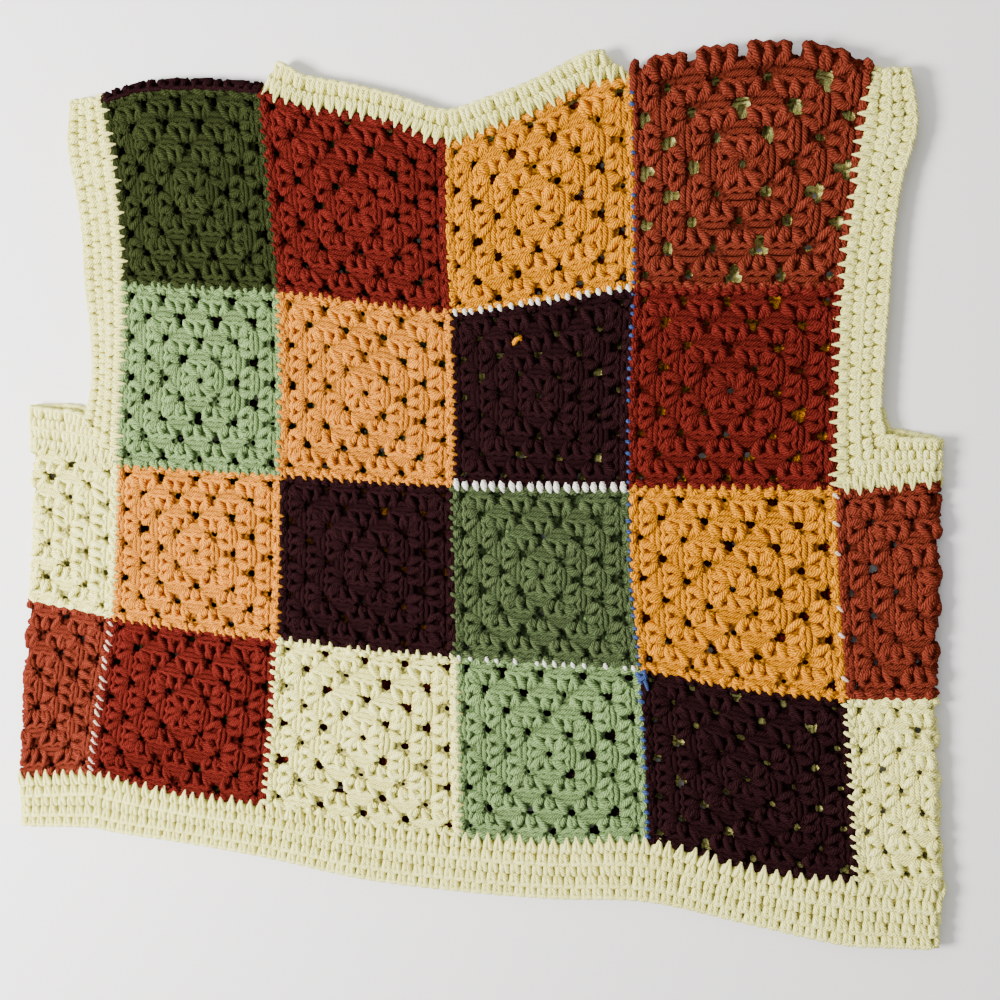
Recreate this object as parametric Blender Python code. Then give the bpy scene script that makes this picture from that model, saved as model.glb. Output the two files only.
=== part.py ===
"""Crochet vest of granny squares, laid flat: a tube of squares with plain bands on its edges.

The vest lies on its back. Neck toward +Y, wearer's left to +X, up is +Z.
Every square, folded side square and edge band is a separate thick cloth panel.
Lengths in the tables are millimetres; the mesh is written in metres.
"""
import bmesh
import bpy
import math
from mathutils import Vector

MM = 0.001

# Cloth and layers
SQUARE_THICK = 3.2
BAND_THICK = 3.6
FRONT_BOTTOM = 4.8
SEAM_GAP = 0.35
SHOULDER_SEAM_DROP = 1.0
FOLD_RISE = 2.0
FOLD_RISE_SPREAD = 0.22
LIFT_LIMIT = 2.3
SHOULDER_BAND_SLOPE = 2.0

# A square's local lines run from -1 to 1; gaps in its third round sit on these two lines
GAP_RING = 0.667
GAP_SIDE = 0.222
GAP_HALF_ALONG = 0.056
GAP_HALF_ACROSS = 0.046
GAP_LEAN = math.radians(7.0)
SQUARE_LINES = (-1.0, -GAP_RING, -GAP_SIDE, 0.0, GAP_SIDE, GAP_RING, 1.0)
SHOULDER_FOLD_LINES = SQUARE_LINES[:-1] + (0.822, 0.862, 0.903, 0.944, 0.985, 1.0)
FOLD_STEPS = (0.0, 0.048, 0.095)
SIDE_FOLD_LINES = (-1.0, -GAP_RING, -GAP_SIDE, -0.095, -0.048, 0.0, 0.048, 0.095, GAP_SIDE, GAP_RING, 1.0)
UNDERARM_STEPS = (0.46, GAP_SIDE, 0.095, 0.048, 0.0)
NOMINAL_SQUARE = 115.0

# Seams between columns of squares: x at heights v = 0, 0.5 ... 4 (squares down from the shoulder)
COLUMN_SEAMS = (
    # v0,    v0.5,   v1,     v1.5,   v2,     v2.5,   v3,     v3.5,   v4
    (-220.0, -213.0, -211.0, -214.5, -219.5, -223.5, -229.0, -240.0, -250.0),
    (-111.5, -106.5, -101.5, -100.5, -102.5, -103.5, -106.5, -110.5, -116.5),
    (6.5, 7.5, 10.0, 12.5, 13.0, 14.5, 16.0, 17.5, 19.5),
    (115.0, 118.0, 120.0, 119.0, 121.0, 124.0, 131.0, 136.0, 140.0),
    (242.0, 238.0, 234.0, 235.0, 237.5, 243.0, 250.5, 257.5, 263.5),
)

# Seams between rows of squares: y at u = 0, 0.5 ... 4 (squares from the left edge)
ROW_SEAMS = (
    # u0,   u0.5,   u1,     u1.5,   u2,     u2.5,   u3,     u3.5,   u4
    (247.0, 251.0, 246.5, 231.0, 212.5, 228.0, 243.5, 253.0, 243.0),
    (131.5, 128.0, 125.5, 119.0, 113.5, 120.0, 127.5, 127.0, 127.5),
    (13.5, 12.0, 11.0, 9.5, 9.0, 9.5, 11.5, 13.5, 15.5),
    (-92.5, -96.5, -98.5, -100.5, -100.5, -100.0, -98.5, -104.5, -106.5),
    (-206.0, -214.5, -215.0, -219.0, -219.5, -216.0, -207.5, -217.5, -217.0),
)

# Side folds: outermost x at v = 2, 2.5 ... 4, then y of the row seams 2, 3 and 4 at the fold
LEFT_FOLD_X = (-287.0, -289.0, -295.5, -303.5, -310.0)
RIGHT_FOLD_X = (292.5, 296.5, 299.5, 304.5, 310.5)
LEFT_FOLD_Y = {2: 23.5, 3: -84.0, 4: -216.0}
RIGHT_FOLD_Y = {2: 22.5, 3: -101.0, 4: -215.0}

# Shoulder folds: topmost y over a square at its local -1, -0.5, 0, 0.5, 1
LEFT_SHOULDER_Y = (250.0, 255.5, 256.0, 254.5, 251.5)
RIGHT_SHOULDER_Y = (249.5, 254.0, 256.5, 254.5, 244.0)

# Neck line: u, y of the squares' edge, y of the band's free edge
NECK_LINE = (
    (1.00, 246.5, 262.0),
    (1.25, 236.5, 254.0),
    (1.50, 231.5, 247.5),
    (1.75, 224.5, 239.5),
    (2.00, 212.5, 230.5),
    (2.25, 220.0, 237.0),
    (2.50, 228.5, 245.5),
    (2.75, 241.0, 257.0),
    (3.00, 243.5, 258.0),
)
NECK_MITRE = {"left": 9.0, "right": 17.0}
NECK_FAN = 0.39
BACK_NECK_DROP = 6.0

# Widths of the edge bands at even stations
HEM_WIDTHS = (36.0, 40.0, 34.0, 36.5, 38.0, 37.0, 37.0, 38.5, 34.5, 40.0, 36.0)
LEFT_ARM_WIDTHS = (23.0, 30.5, 29.0, 27.5, 27.5, 23.0, 20.5, 23.0, 24.5)
RIGHT_ARM_WIDTHS = (19.0, 26.5, 22.5, 22.5, 24.0, 23.5, 22.5, 22.5, 25.5)
LEFT_UNDERARM = (29.5, 26.5)
RIGHT_UNDERARM = (29.5, 22.5)
BACK_UNDERARM_EXTRA = 5.0

# Places where the upper layer stands up: u, v, height, spread in squares
LIFTS = (
    (2.10, 0.55, 2.2, 0.20),
    (0.15, 1.60, 1.6, 0.35),
    (3.55, 0.25, 2.0, 0.45),
    (0.55, 2.45, 1.2, 0.40),
    (1.55, 2.50, 1.5, 0.45),
    (2.60, 1.45, 1.3, 0.40),
    (3.45, 2.55, 1.5, 0.40),
    (1.50, 3.55, 1.2, 0.45),
    (2.95, 3.75, 1.8, 0.35),
    (0.10, 3.80, 1.6, 0.30),
    (3.95, 4.15, 1.4, 0.35),
)

# Yarn colours: base colour and roughness
YARNS = {
    "olive": ((0.035, 0.043, 0.018), 0.92),
    "brick": ((0.235, 0.020, 0.012), 0.90),
    "mustard": ((0.500, 0.240, 0.035), 0.90),
    "rust": ((0.330, 0.050, 0.018), 0.90),
    "mint": ((0.300, 0.420, 0.300), 0.92),
    "peach": ((0.760, 0.290, 0.150), 0.92),
    "aubergine": ((0.026, 0.013, 0.028), 0.90),
    "green": ((0.085, 0.150, 0.060), 0.92),
    "cream": ((0.720, 0.650, 0.400), 0.94),
}
FRONT_YARNS = (
    ("olive", "brick", "mustard", "rust"),
    ("mint", "peach", "aubergine", "brick"),
    ("peach", "aubergine", "green", "mustard"),
    ("brick", "cream", "mint", "aubergine"),
)
BACK_YARNS = (
    ("aubergine", "mint", "rust", "cream"),
    ("peach", "green", "cream", "mustard"),
    ("olive", "mustard", "mint", "brick"),
    ("mint", "brick", "aubergine", "peach"),
)
SIDE_YARNS = {("left", 3): "cream", ("left", 4): "rust", ("right", 3): "rust", ("right", 4): "cream"}

FRONT = 1
BACK = -1
SHOULDER_ROW = 1
SIDE_ROWS = (3, 4)
ROWS = 4
COLUMNS = 4


def smooth_table(values, t):
    """Value of an evenly spaced table at position t, on a smooth curve through its entries."""
    last = len(values) - 1
    t = min(max(t, 0.0), float(last))
    i = min(int(t), last - 1)
    f = t - i
    p1 = values[i]
    p2 = values[i + 1]
    p0 = values[i - 1] if i > 0 else 2.0 * p1 - p2
    p3 = values[i + 2] if i + 2 <= last else 2.0 * p2 - p1
    bend = 2.0 * p0 - 5.0 * p1 + 4.0 * p2 - p3
    return 0.5 * (2.0 * p1 + (p2 - p0) * f + bend * f * f + (3.0 * p1 - p0 - 3.0 * p2 + p3) * f ** 3)


def lerp(a, b, t):
    return a + (b - a) * t


def lift(u, v):
    """Height of the upper layer above its flat rest at a place of the body."""
    side = min(abs(u + 0.5), abs(u - 4.5))
    rise = FOLD_RISE * math.exp(-(side / FOLD_RISE_SPREAD) ** 2) if v > 1.7 else 0.0
    if u < 1.2 or u > 2.8:
        rise = max(rise, FOLD_RISE * math.exp(-(v / FOLD_RISE_SPREAD) ** 2))
    for at_u, at_v, height, spread in LIFTS:
        distance = ((u - at_u) ** 2 + (v - at_v) ** 2) / spread ** 2
        rise += height * math.exp(-distance)
    return LIFT_LIMIT * math.tanh(rise / LIFT_LIMIT)


def neck_edge(u, column):
    """Neck line at u: column 1 is the squares' edge, column 2 the band's free edge."""
    return smooth_table([row[column] for row in NECK_LINE], (u - 1.0) * 4.0)


def seam_x(column, v):
    return smooth_table(COLUMN_SEAMS[column], v * 2.0)


def seam_y(row, u):
    if row == 0 and 1.0 <= u <= 3.0:
        return neck_edge(u, 1)
    return smooth_table(ROW_SEAMS[row], u * 2.0)


def body_x(u, v):
    column = min(max(int(u), 0), COLUMNS - 1)
    return lerp(seam_x(column, v), seam_x(column + 1, v), u - column)


def body_y(u, v, side):
    row = min(max(int(v), 0), ROWS - 1)
    top = seam_y(row, u)
    if side == BACK and row == 0 and 1.0 <= u <= 3.0:
        top -= BACK_NECK_DROP
    return lerp(top, seam_y(row + 1, u), v - row)


def plan_x(u, v, y):
    """x of a body place. In the shoulder row it follows the seams at the same y in both layers."""
    if v < 1.0:
        top = seam_y(0, u)
        v = max((top - y) / (top - seam_y(1, u)), 0.0)
    return body_x(u, v)


def layer_z(side, thick, u, v):
    """Height of the middle of the cloth in the upper or lower layer."""
    if side == BACK:
        return thick / 2.0
    return FRONT_BOTTOM + thick / 2.0 + lift(u, v)


def fold_profile(s, thick, z_top):
    """Section across a fold. s is the length along the cloth from the fold, + on the upper layer.

    Gives the distance in from the outermost line, the height, and the outward and upward parts
    of the direction across the cloth.
    """
    z_low = thick / 2.0
    radius = (z_top - z_low) / 2.0
    quarter = radius * math.pi / 2.0
    centre_in = thick / 2.0 + radius
    if abs(s) >= quarter:
        z = z_top if s > 0.0 else z_low
        return centre_in + abs(s) - quarter, z, 0.0, (1.0 if s > 0.0 else -1.0)
    angle = s / radius
    inward = centre_in - radius * math.cos(angle)
    z = z_low + radius + radius * math.sin(angle)
    return inward, z, math.cos(angle), math.sin(angle)


def fold_quarter(thick, z_top):
    return (z_top - thick / 2.0) * math.pi / 4.0


def fold_inset(thick, z_top):
    return thick / 2.0 + (z_top - thick / 2.0) / 2.0


def point(x, y, z):
    return Vector((x, y, z)) * MM


def flat_square(side, row, column):
    """Place of each local point of a square that lies in one layer."""
    def place(a, b):
        u = column - 1 + (a + 1.0) / 2.0
        v = row - 1 + (1.0 - b) / 2.0
        y = body_y(u, v, side)
        z = layer_z(side, SQUARE_THICK, u, v)
        return point(plan_x(u, v, y), y, z), Vector((0.0, 0.0, side))
    return place


def shoulder_square(side, column):
    """A square of the shoulder row. The left seam lies in front of the fold, the right one behind."""
    tops = LEFT_SHOULDER_Y if column == 1 else RIGHT_SHOULDER_Y

    def place(a, b):
        u = column - 1 + (a + 1.0) / 2.0
        v = (1.0 - b) / 2.0
        out_y = smooth_table(tops, (a + 1.0) / 2.0 * (len(tops) - 1))
        z_top = layer_z(FRONT, SQUARE_THICK, u, 0.0)
        quarter = fold_quarter(SQUARE_THICK, z_top)
        seam = quarter + SHOULDER_SEAM_DROP
        s_seam = seam if column == 1 else -seam
        start = s_seam - side * SEAM_GAP / 2.0
        straight = out_y - fold_inset(SQUARE_THICK, z_top) - seam_y(1, u)
        end = side * (quarter + straight)
        s = lerp(start, end, v)
        inward, z, out_part, up_part = fold_profile(s, SQUARE_THICK, z_top)
        if s > quarter:
            z = layer_z(FRONT, SQUARE_THICK, u, v)
        y = out_y - inward
        return point(plan_x(u, min(v, 0.999), y), y, z), Vector((0.0, out_part, up_part))
    return place


def side_square(hand, row):
    """A square folded round the side edge: local a runs from the front seam to the back seam."""
    def place(a, b):
        v = row - 1 + (1.0 - b) / 2.0
        x, y, z, across = side_fold_point(hand, v, a, SQUARE_THICK)
        return point(x, y, z), across
    return place


def side_fold_point(hand, v, a, thick, y_in=None, y_out=None):
    """Place on the cloth that turns round a side edge; a = -1 front seam, 0 fold, 1 back seam."""
    sign = -1.0 if hand == "left" else 1.0
    column = 0 if hand == "left" else COLUMNS
    fold_x = smooth_table(LEFT_FOLD_X if hand == "left" else RIGHT_FOLD_X, (v - 2.0) * 2.0)
    fold_y = LEFT_FOLD_Y if hand == "left" else RIGHT_FOLD_Y
    edge_u = -0.5 if hand == "left" else 4.5
    z_top = layer_z(FRONT, thick, edge_u, v)
    quarter = fold_quarter(thick, z_top)
    seam = seam_x(column, v)
    straight = abs(fold_x - seam) - fold_inset(thick, z_top) - SEAM_GAP / 2.0
    s = -a * (straight + quarter)
    inward, z, out_part, up_part = fold_profile(s, thick, z_top)
    x = fold_x - sign * inward
    share = abs(x - seam) / abs(fold_x - seam)
    if s > quarter:
        z = layer_z(FRONT, thick, column + sign * share / 2.0, v)
    if y_in is None:
        row = min(max(int(v), 2), ROWS - 1)
        top = lerp(seam_y(row, column), fold_y[row], share)
        low = lerp(seam_y(row + 1, column), fold_y[row + 1], share)
        y = lerp(top, low, v - row)
    else:
        y = lerp(y_in, y_out, share)
    return x, y, z, Vector((sign * out_part, 0.0, up_part))


def gap_centres(lines_a, lines_b):
    """Grid corners where a gap of the third round opens: one line on the ring, the other beside the middle."""
    found = {}
    for i, a in enumerate(lines_a):
        for j, b in enumerate(lines_b):
            if {abs(a), abs(b)} == {GAP_RING, GAP_SIDE}:
                found[(i, j)] = (a, b)
    return found


def square_mesh(name, place, lines_a=SQUARE_LINES, lines_b=SQUARE_LINES):
    """Thick cloth square with eight four-cornered gaps cut through, as a closed mesh."""
    gaps = gap_centres(lines_a, lines_b)
    shrink_b = 1.0 - SEAM_GAP / NOMINAL_SQUARE
    shrink_a = 1.0 if lines_a is SIDE_FOLD_LINES else shrink_b
    mesh = bmesh.new()
    pairs = {}

    def pair(key, a, b):
        if key not in pairs:
            middle, across = place(a * shrink_a, b * shrink_b)
            half = across * (SQUARE_THICK / 2.0 * MM)
            pairs[key] = (mesh.verts.new(middle + half), mesh.verts.new(middle - half))
        return pairs[key]

    def corner(i, j, di, dj):
        a = lines_a[i]
        b = lines_b[j]
        if (i, j) not in gaps:
            return pair((i, j), a, b)
        on_side = abs(a) > abs(b)
        reach_a = GAP_HALF_ACROSS if on_side else GAP_HALF_ALONG
        reach_b = GAP_HALF_ALONG if on_side else GAP_HALF_ACROSS
        turn_a = di * reach_a * math.cos(GAP_LEAN) - dj * reach_b * math.sin(GAP_LEAN)
        turn_b = di * reach_a * math.sin(GAP_LEAN) + dj * reach_b * math.cos(GAP_LEAN)
        return pair((i, j, di, dj), a + turn_a, b + turn_b)

    def cell_loop(i, j):
        loop = []
        ring = ((i, j), (i + 1, j), (i + 1, j + 1), (i, j + 1))
        for k in range(4):
            here = ring[k]
            before = ring[k - 1]
            after = ring[(k + 1) % 4]
            loop.append(corner(here[0], here[1], before[0] - here[0], before[1] - here[1]))
            if here in gaps:
                loop.append(corner(here[0], here[1], after[0] - here[0], after[1] - here[1]))
        return loop

    last_a = len(lines_a) - 1
    last_b = len(lines_b) - 1
    for i in range(last_a):
        for j in range(last_b):
            loop = cell_loop(i, j)
            mesh.faces.new([top for top, _ in loop])
            mesh.faces.new([low for _, low in reversed(loop)])
    rim = [(i, 0) for i in range(last_a)] + [(last_a, j) for j in range(last_b)]
    rim += [(i, last_b) for i in range(last_a, 0, -1)] + [(0, j) for j in range(last_b, 0, -1)]
    walls = [[pairs[key] for key in rim]]
    for i, j in gaps:
        walls.append([pairs[(i, j, di, dj)] for di, dj in ((0, -1), (-1, 0), (0, 1), (1, 0))])
    for wall in walls:
        for k, (top, low) in enumerate(wall):
            top_next, low_next = wall[(k + 1) % len(wall)]
            mesh.faces.new((top, low, low_next, top_next))
    return finish(name, mesh)


def ring_mesh(name, stations):
    """Thick closed band. Each station: inner point, outer point and the direction across the cloth."""
    mesh = bmesh.new()
    sections = []
    for inner, outer, across in stations:
        half = across * (BAND_THICK / 2.0 * MM)
        corners = (inner + half, outer + half, outer - half, inner - half)
        sections.append([mesh.verts.new(corner) for corner in corners])
    for k, section in enumerate(sections):
        after = sections[(k + 1) % len(sections)]
        for c in range(4):
            d = (c + 1) % 4
            mesh.faces.new((section[c], section[d], after[d], after[c]))
    return finish(name, mesh)


def finish(name, mesh):
    bmesh.ops.triangulate(mesh, faces=mesh.faces[:], quad_method="BEAUTY", ngon_method="BEAUTY")
    bmesh.ops.recalc_face_normals(mesh, faces=mesh.faces[:])
    if mesh.calc_volume(signed=True) < 0.0:
        bmesh.ops.reverse_faces(mesh, faces=mesh.faces[:])
    data = bpy.data.meshes.new(name)
    mesh.to_mesh(data)
    mesh.free()
    made = bpy.data.objects.new(name, data)
    bpy.context.scene.collection.objects.link(made)
    return made


def colour(made, yarn):
    base, roughness = YARNS[yarn]
    material = bpy.data.materials.new("yarn_" + made.name)
    material.use_nodes = True
    shader = material.node_tree.nodes["Principled BSDF"]
    shader.inputs["Base Color"].default_value = (*base, 1.0)
    shader.inputs["Roughness"].default_value = roughness
    shader.inputs["Metallic"].default_value = 0.0
    made.data.materials.append(material)


def hem_stations():
    """Stations of the hem round the body, from the left fold over the front and home along the back."""
    def turn(hand, a):
        column = 0 if hand == "left" else COLUMNS
        fold_y = LEFT_FOLD_Y if hand == "left" else RIGHT_FOLD_Y
        ends = (HEM_WIDTHS[1], HEM_WIDTHS[0]) if hand == "left" else (HEM_WIDTHS[-2], HEM_WIDTHS[-1])
        top = side_fold_point(hand, 4.0, a, BAND_THICK, seam_y(4, column) - SEAM_GAP, fold_y[4] - SEAM_GAP)
        low = side_fold_point(hand, 4.0, a, BAND_THICK, seam_y(4, column) - ends[0], fold_y[4] - ends[1])
        return point(*top[:3]), point(*low[:3]), top[3]

    def straight(u, side):
        width = smooth_table(HEM_WIDTHS, (u + 0.5) * 2.0)
        x = body_x(u, 4.0)
        y = body_y(u, 4.0, side)
        z = layer_z(side, BAND_THICK, u, 4.0)
        return point(x, y - SEAM_GAP, z), point(x, y - width, z), Vector((0.0, 0.0, side))

    side_lines = [line for line in SQUARE_LINES if line > 0.1]
    across = []
    for column in range(COLUMNS):
        across += [column + (line + 1.0) / 2.0 for line in SQUARE_LINES[:-1]]
    across.append(float(COLUMNS))
    steps = list(FOLD_STEPS) + side_lines[:-1]
    right_front = [turn("right", -a) for a in reversed(side_lines[:-1])]
    right_fold = [turn("right", -a) for a in reversed(FOLD_STEPS)]
    right_back = [turn("right", a) for a in steps[1:]]
    left_back = [turn("left", a) for a in reversed(steps[1:])]
    stations = [turn("left", -a) for a in steps]
    stations += [straight(u, FRONT) for u in across]
    stations += right_front + right_fold + right_back
    stations += [straight(u, BACK) for u in reversed(across)]
    stations += left_back
    return stations


def armhole_stations(hand):
    """Stations of an armhole band: down the front, out under the arm, round the side fold and up the back."""
    left = hand == "left"
    sign = -1.0 if left else 1.0
    column = 0 if left else COLUMNS
    widths = LEFT_ARM_WIDTHS if left else RIGHT_ARM_WIDTHS
    under = LEFT_UNDERARM if left else RIGHT_UNDERARM
    tops = LEFT_SHOULDER_Y if left else RIGHT_SHOULDER_Y
    fold_y = LEFT_FOLD_Y if left else RIGHT_FOLD_Y
    edge_u = 0.0 if left else float(COLUMNS)
    out_y = tops[0] if left else tops[-1]
    z_top = layer_z(FRONT, BAND_THICK, edge_u, 0.0)
    quarter = fold_quarter(BAND_THICK, z_top)
    arc_shares = (0.0, 0.5, 1.0)

    def upright(side, v):
        width = smooth_table(widths, v * 4.0)
        x = seam_x(column, v) + sign * SEAM_GAP
        y = body_y(edge_u, v, side)
        z = layer_z(side, BAND_THICK, edge_u, v)
        return point(x, y, z), point(x + sign * width, y, z), Vector((0.0, 0.0, side))

    def shoulder(s):
        inward, z, out_part, up_part = fold_profile(s, BAND_THICK, z_top)
        x = seam_x(column, 0.0) + sign * SEAM_GAP
        across = Vector((0.0, out_part, up_part))
        y = out_y - inward
        return point(x, y, z), point(x + sign * widths[0], y - SHOULDER_BAND_SLOPE, z), across

    def elbow(side):
        extra = BACK_UNDERARM_EXTRA if side == BACK else 0.0
        x = seam_x(column, 2.0) + sign * SEAM_GAP
        y = seam_y(2, edge_u) + SEAM_GAP
        z = layer_z(side, BAND_THICK, edge_u, 2.0)
        return point(x, y, z), point(x + sign * widths[-1], y + under[0] + extra, z), Vector((0.0, 0.0, side))

    def under_arm(a):
        extra = BACK_UNDERARM_EXTRA * min(max(a, 0.0) * 2.0, 1.0)
        near = seam_y(2, column) + SEAM_GAP
        far = fold_y[2] + SEAM_GAP
        low = side_fold_point(hand, 2.0, a, BAND_THICK, near, far)
        high = side_fold_point(hand, 2.0, a, BAND_THICK, near + under[0] + extra, far + under[1] + extra)
        return point(*low[:3]), point(*high[:3]), low[3]

    upright_v = [(1.0 - line) / 2.0 for line in reversed(SQUARE_LINES)]
    upright_v = upright_v[1:] + [1.0 + v for v in upright_v[1:-2]]
    stations = [shoulder(s * quarter) for s in arc_shares]
    stations += [upright(FRONT, v) for v in upright_v]
    stations.append(elbow(FRONT))
    stations += [under_arm(-a) for a in UNDERARM_STEPS]
    stations += [under_arm(a) for a in reversed(UNDERARM_STEPS[:-1])]
    stations.append(elbow(BACK))
    stations += [upright(BACK, v) for v in reversed(upright_v)]
    stations += [shoulder(-s * quarter) for s in reversed(arc_shares[1:])]
    return stations


def neck_stations():
    """Stations of the neck band: left fold, front from left to right, right fold, back."""
    fold_shares = (0.0, 0.5, 1.0)
    left_x = seam_x(1, 0.0)
    right_x = seam_x(3, 0.0)

    def square_edge(x):
        if x < seam_x(2, 0.0):
            return neck_edge(1.0 + (x - left_x) / (seam_x(2, 0.0) - left_x), 1)
        return neck_edge(3.0 - (right_x - x) / (right_x - seam_x(2, 0.0)), 1)

    def fold(hand, s_share):
        left = hand == "left"
        sign = 1.0 if left else -1.0
        u = 1.0 if left else 3.0
        z_top = layer_z(FRONT, BAND_THICK, u, 0.0)
        s = s_share * fold_quarter(BAND_THICK, z_top)
        inward, z, out_part, up_part = fold_profile(s, BAND_THICK, z_top)
        x = (left_x if left else right_x) + sign * (SEAM_GAP + inward)
        drop = BACK_NECK_DROP * max(-s_share, 0.0)
        y_in = square_edge(x) - drop + SEAM_GAP
        y_out = neck_edge(u, 2) - drop
        across = Vector((-sign * out_part, 0.0, up_part))
        return point(x, y_in, z), point(x + sign * NECK_MITRE[hand], y_out, z), across

    def straight(u, side):
        drop = BACK_NECK_DROP if side == BACK else 0.0
        x = body_x(u, 0.0)
        near_left = max(1.0 - (u - 1.0) / NECK_FAN, 0.0)
        near_right = max(1.0 - (3.0 - u) / NECK_FAN, 0.0)
        shift = near_left * NECK_MITRE["left"] - near_right * NECK_MITRE["right"]
        u_out = u + shift / (seam_x(2, 0.0) - left_x)
        y_in = neck_edge(u, 1) - drop + SEAM_GAP
        y_out = neck_edge(u_out, 2) - drop
        z = layer_z(side, BAND_THICK, u, 0.0)
        return point(x, y_in, z), point(x + shift, y_out, z), Vector((0.0, 0.0, side))

    along = [1.0 + (line + 1.0) / 2.0 for line in SQUARE_LINES[1:]]
    along += [2.0 + (line + 1.0) / 2.0 for line in SQUARE_LINES[1:-1]]
    stations = [fold("left", s) for s in fold_shares]
    stations += [straight(u, FRONT) for u in along]
    stations += [fold("right", s) for s in reversed(fold_shares)]
    stations += [fold("right", -s) for s in fold_shares[1:]]
    stations += [straight(u, BACK) for u in reversed(along)]
    stations += [fold("left", -s) for s in reversed(fold_shares[1:])]
    return stations


def build_squares():
    for side, word, yarns in ((FRONT, "front", FRONT_YARNS), (BACK, "back", BACK_YARNS)):
        for row in range(1, ROWS + 1):
            for column in range(1, COLUMNS + 1):
                on_shoulder = row == SHOULDER_ROW and column in (1, COLUMNS)
                place = shoulder_square(side, column) if on_shoulder else flat_square(side, row, column)
                turns = on_shoulder and (side == BACK) == (column == 1)
                lines_b = SHOULDER_FOLD_LINES if turns else SQUARE_LINES
                made = square_mesh(f"{word}_r{row}c{column}", place, lines_b=lines_b)
                colour(made, yarns[row - 1][column - 1])


def build_side_squares():
    for hand in ("left", "right"):
        for row in SIDE_ROWS:
            made = square_mesh(f"side_{hand}_r{row}", side_square(hand, row), SIDE_FOLD_LINES)
            colour(made, SIDE_YARNS[(hand, row)])


def build_bands():
    colour(ring_mesh("hem_band", hem_stations()), "cream")
    for hand in ("left", "right"):
        colour(ring_mesh(f"armhole_band_{hand}", armhole_stations(hand)), "cream")
    colour(ring_mesh("neck_band", neck_stations()), "cream")


def centre_on_floor():
    """Moves the mesh data so that the whole vest is centred over the origin and lies on the floor."""
    made = [item for item in bpy.data.objects if item.type == "MESH"]
    points = [vertex.co for item in made for vertex in item.data.vertices]
    low = [min(p[axis] for p in points) for axis in range(3)]
    high = [max(p[axis] for p in points) for axis in range(3)]
    shift = Vector(((low[0] + high[0]) / -2.0, (low[1] + high[1]) / -2.0, -low[2]))
    for item in made:
        for vertex in item.data.vertices:
            vertex.co += shift


def main():
    for item in list(bpy.data.objects):
        bpy.data.objects.remove(item)
    build_squares()
    build_side_squares()
    build_bands()
    centre_on_floor()


main()
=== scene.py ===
"""Crochet vest of granny squares laid flat: yarn, sewn seams and edge bands over the solid panels."""

import math
import random
from collections import namedtuple

import bmesh
import bpy
from mathutils import Matrix, Vector


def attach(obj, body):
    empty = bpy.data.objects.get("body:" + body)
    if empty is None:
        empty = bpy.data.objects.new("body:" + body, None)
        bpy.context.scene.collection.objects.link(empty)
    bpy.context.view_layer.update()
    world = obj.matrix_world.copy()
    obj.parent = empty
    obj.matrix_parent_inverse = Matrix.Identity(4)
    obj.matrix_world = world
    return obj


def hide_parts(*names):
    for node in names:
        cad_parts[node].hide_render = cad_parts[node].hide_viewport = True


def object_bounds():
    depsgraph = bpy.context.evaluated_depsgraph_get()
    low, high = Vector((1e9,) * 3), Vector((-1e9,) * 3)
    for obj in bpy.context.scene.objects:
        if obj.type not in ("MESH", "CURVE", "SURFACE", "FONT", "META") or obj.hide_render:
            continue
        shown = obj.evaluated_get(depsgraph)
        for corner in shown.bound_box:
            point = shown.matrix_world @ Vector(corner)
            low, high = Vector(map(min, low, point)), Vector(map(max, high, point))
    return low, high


bl_info = {
    "name": "Crochet vest",
    "version": (1, 0, 0),
    "blender": (4, 5, 0),
    "location": "View3D > Sidebar > Vest",
    "description": "Crochets a vest of granny squares with edge bands over its solid panels",
    "category": "Add Mesh",
}

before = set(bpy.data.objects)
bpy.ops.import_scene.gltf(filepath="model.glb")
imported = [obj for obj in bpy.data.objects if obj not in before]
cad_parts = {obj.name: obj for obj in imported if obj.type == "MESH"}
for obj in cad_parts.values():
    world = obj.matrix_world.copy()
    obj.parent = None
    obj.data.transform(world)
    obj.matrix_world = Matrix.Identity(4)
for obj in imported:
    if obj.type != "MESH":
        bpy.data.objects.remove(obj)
CAD_LOW, CAD_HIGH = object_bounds()

MM = 0.001
FRONT = 1
BACK = -1
ROWS = 4
COLUMNS = 4

# Cloth and layers, in millimetres
SQUARE_THICK = 3.2
BAND_THICK = 3.6
FRONT_BOTTOM = 4.8
SEAM_GAP = 0.35
SHOULDER_SEAM_DROP = 1.0
FOLD_RISE = 2.0
FOLD_RISE_SPREAD = 0.22
LIFT_LIMIT = 2.3
SHOULDER_BAND_SLOPE = 2.0
NOMINAL_HALF = 57.5

# Seams between columns of squares: x at heights v = 0, 0.5 ... 4 (squares down from the shoulder)
COLUMN_SEAMS = (
    # v0,    v0.5,   v1,     v1.5,   v2,     v2.5,   v3,     v3.5,   v4
    (-220.0, -213.0, -211.0, -214.5, -219.5, -223.5, -229.0, -240.0, -250.0),
    (-111.5, -106.5, -101.5, -100.5, -102.5, -103.5, -106.5, -110.5, -116.5),
    (6.5, 7.5, 10.0, 12.5, 13.0, 14.5, 16.0, 17.5, 19.5),
    (115.0, 118.0, 120.0, 119.0, 121.0, 124.0, 131.0, 136.0, 140.0),
    (242.0, 238.0, 234.0, 235.0, 237.5, 243.0, 250.5, 257.5, 263.5),
)

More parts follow.
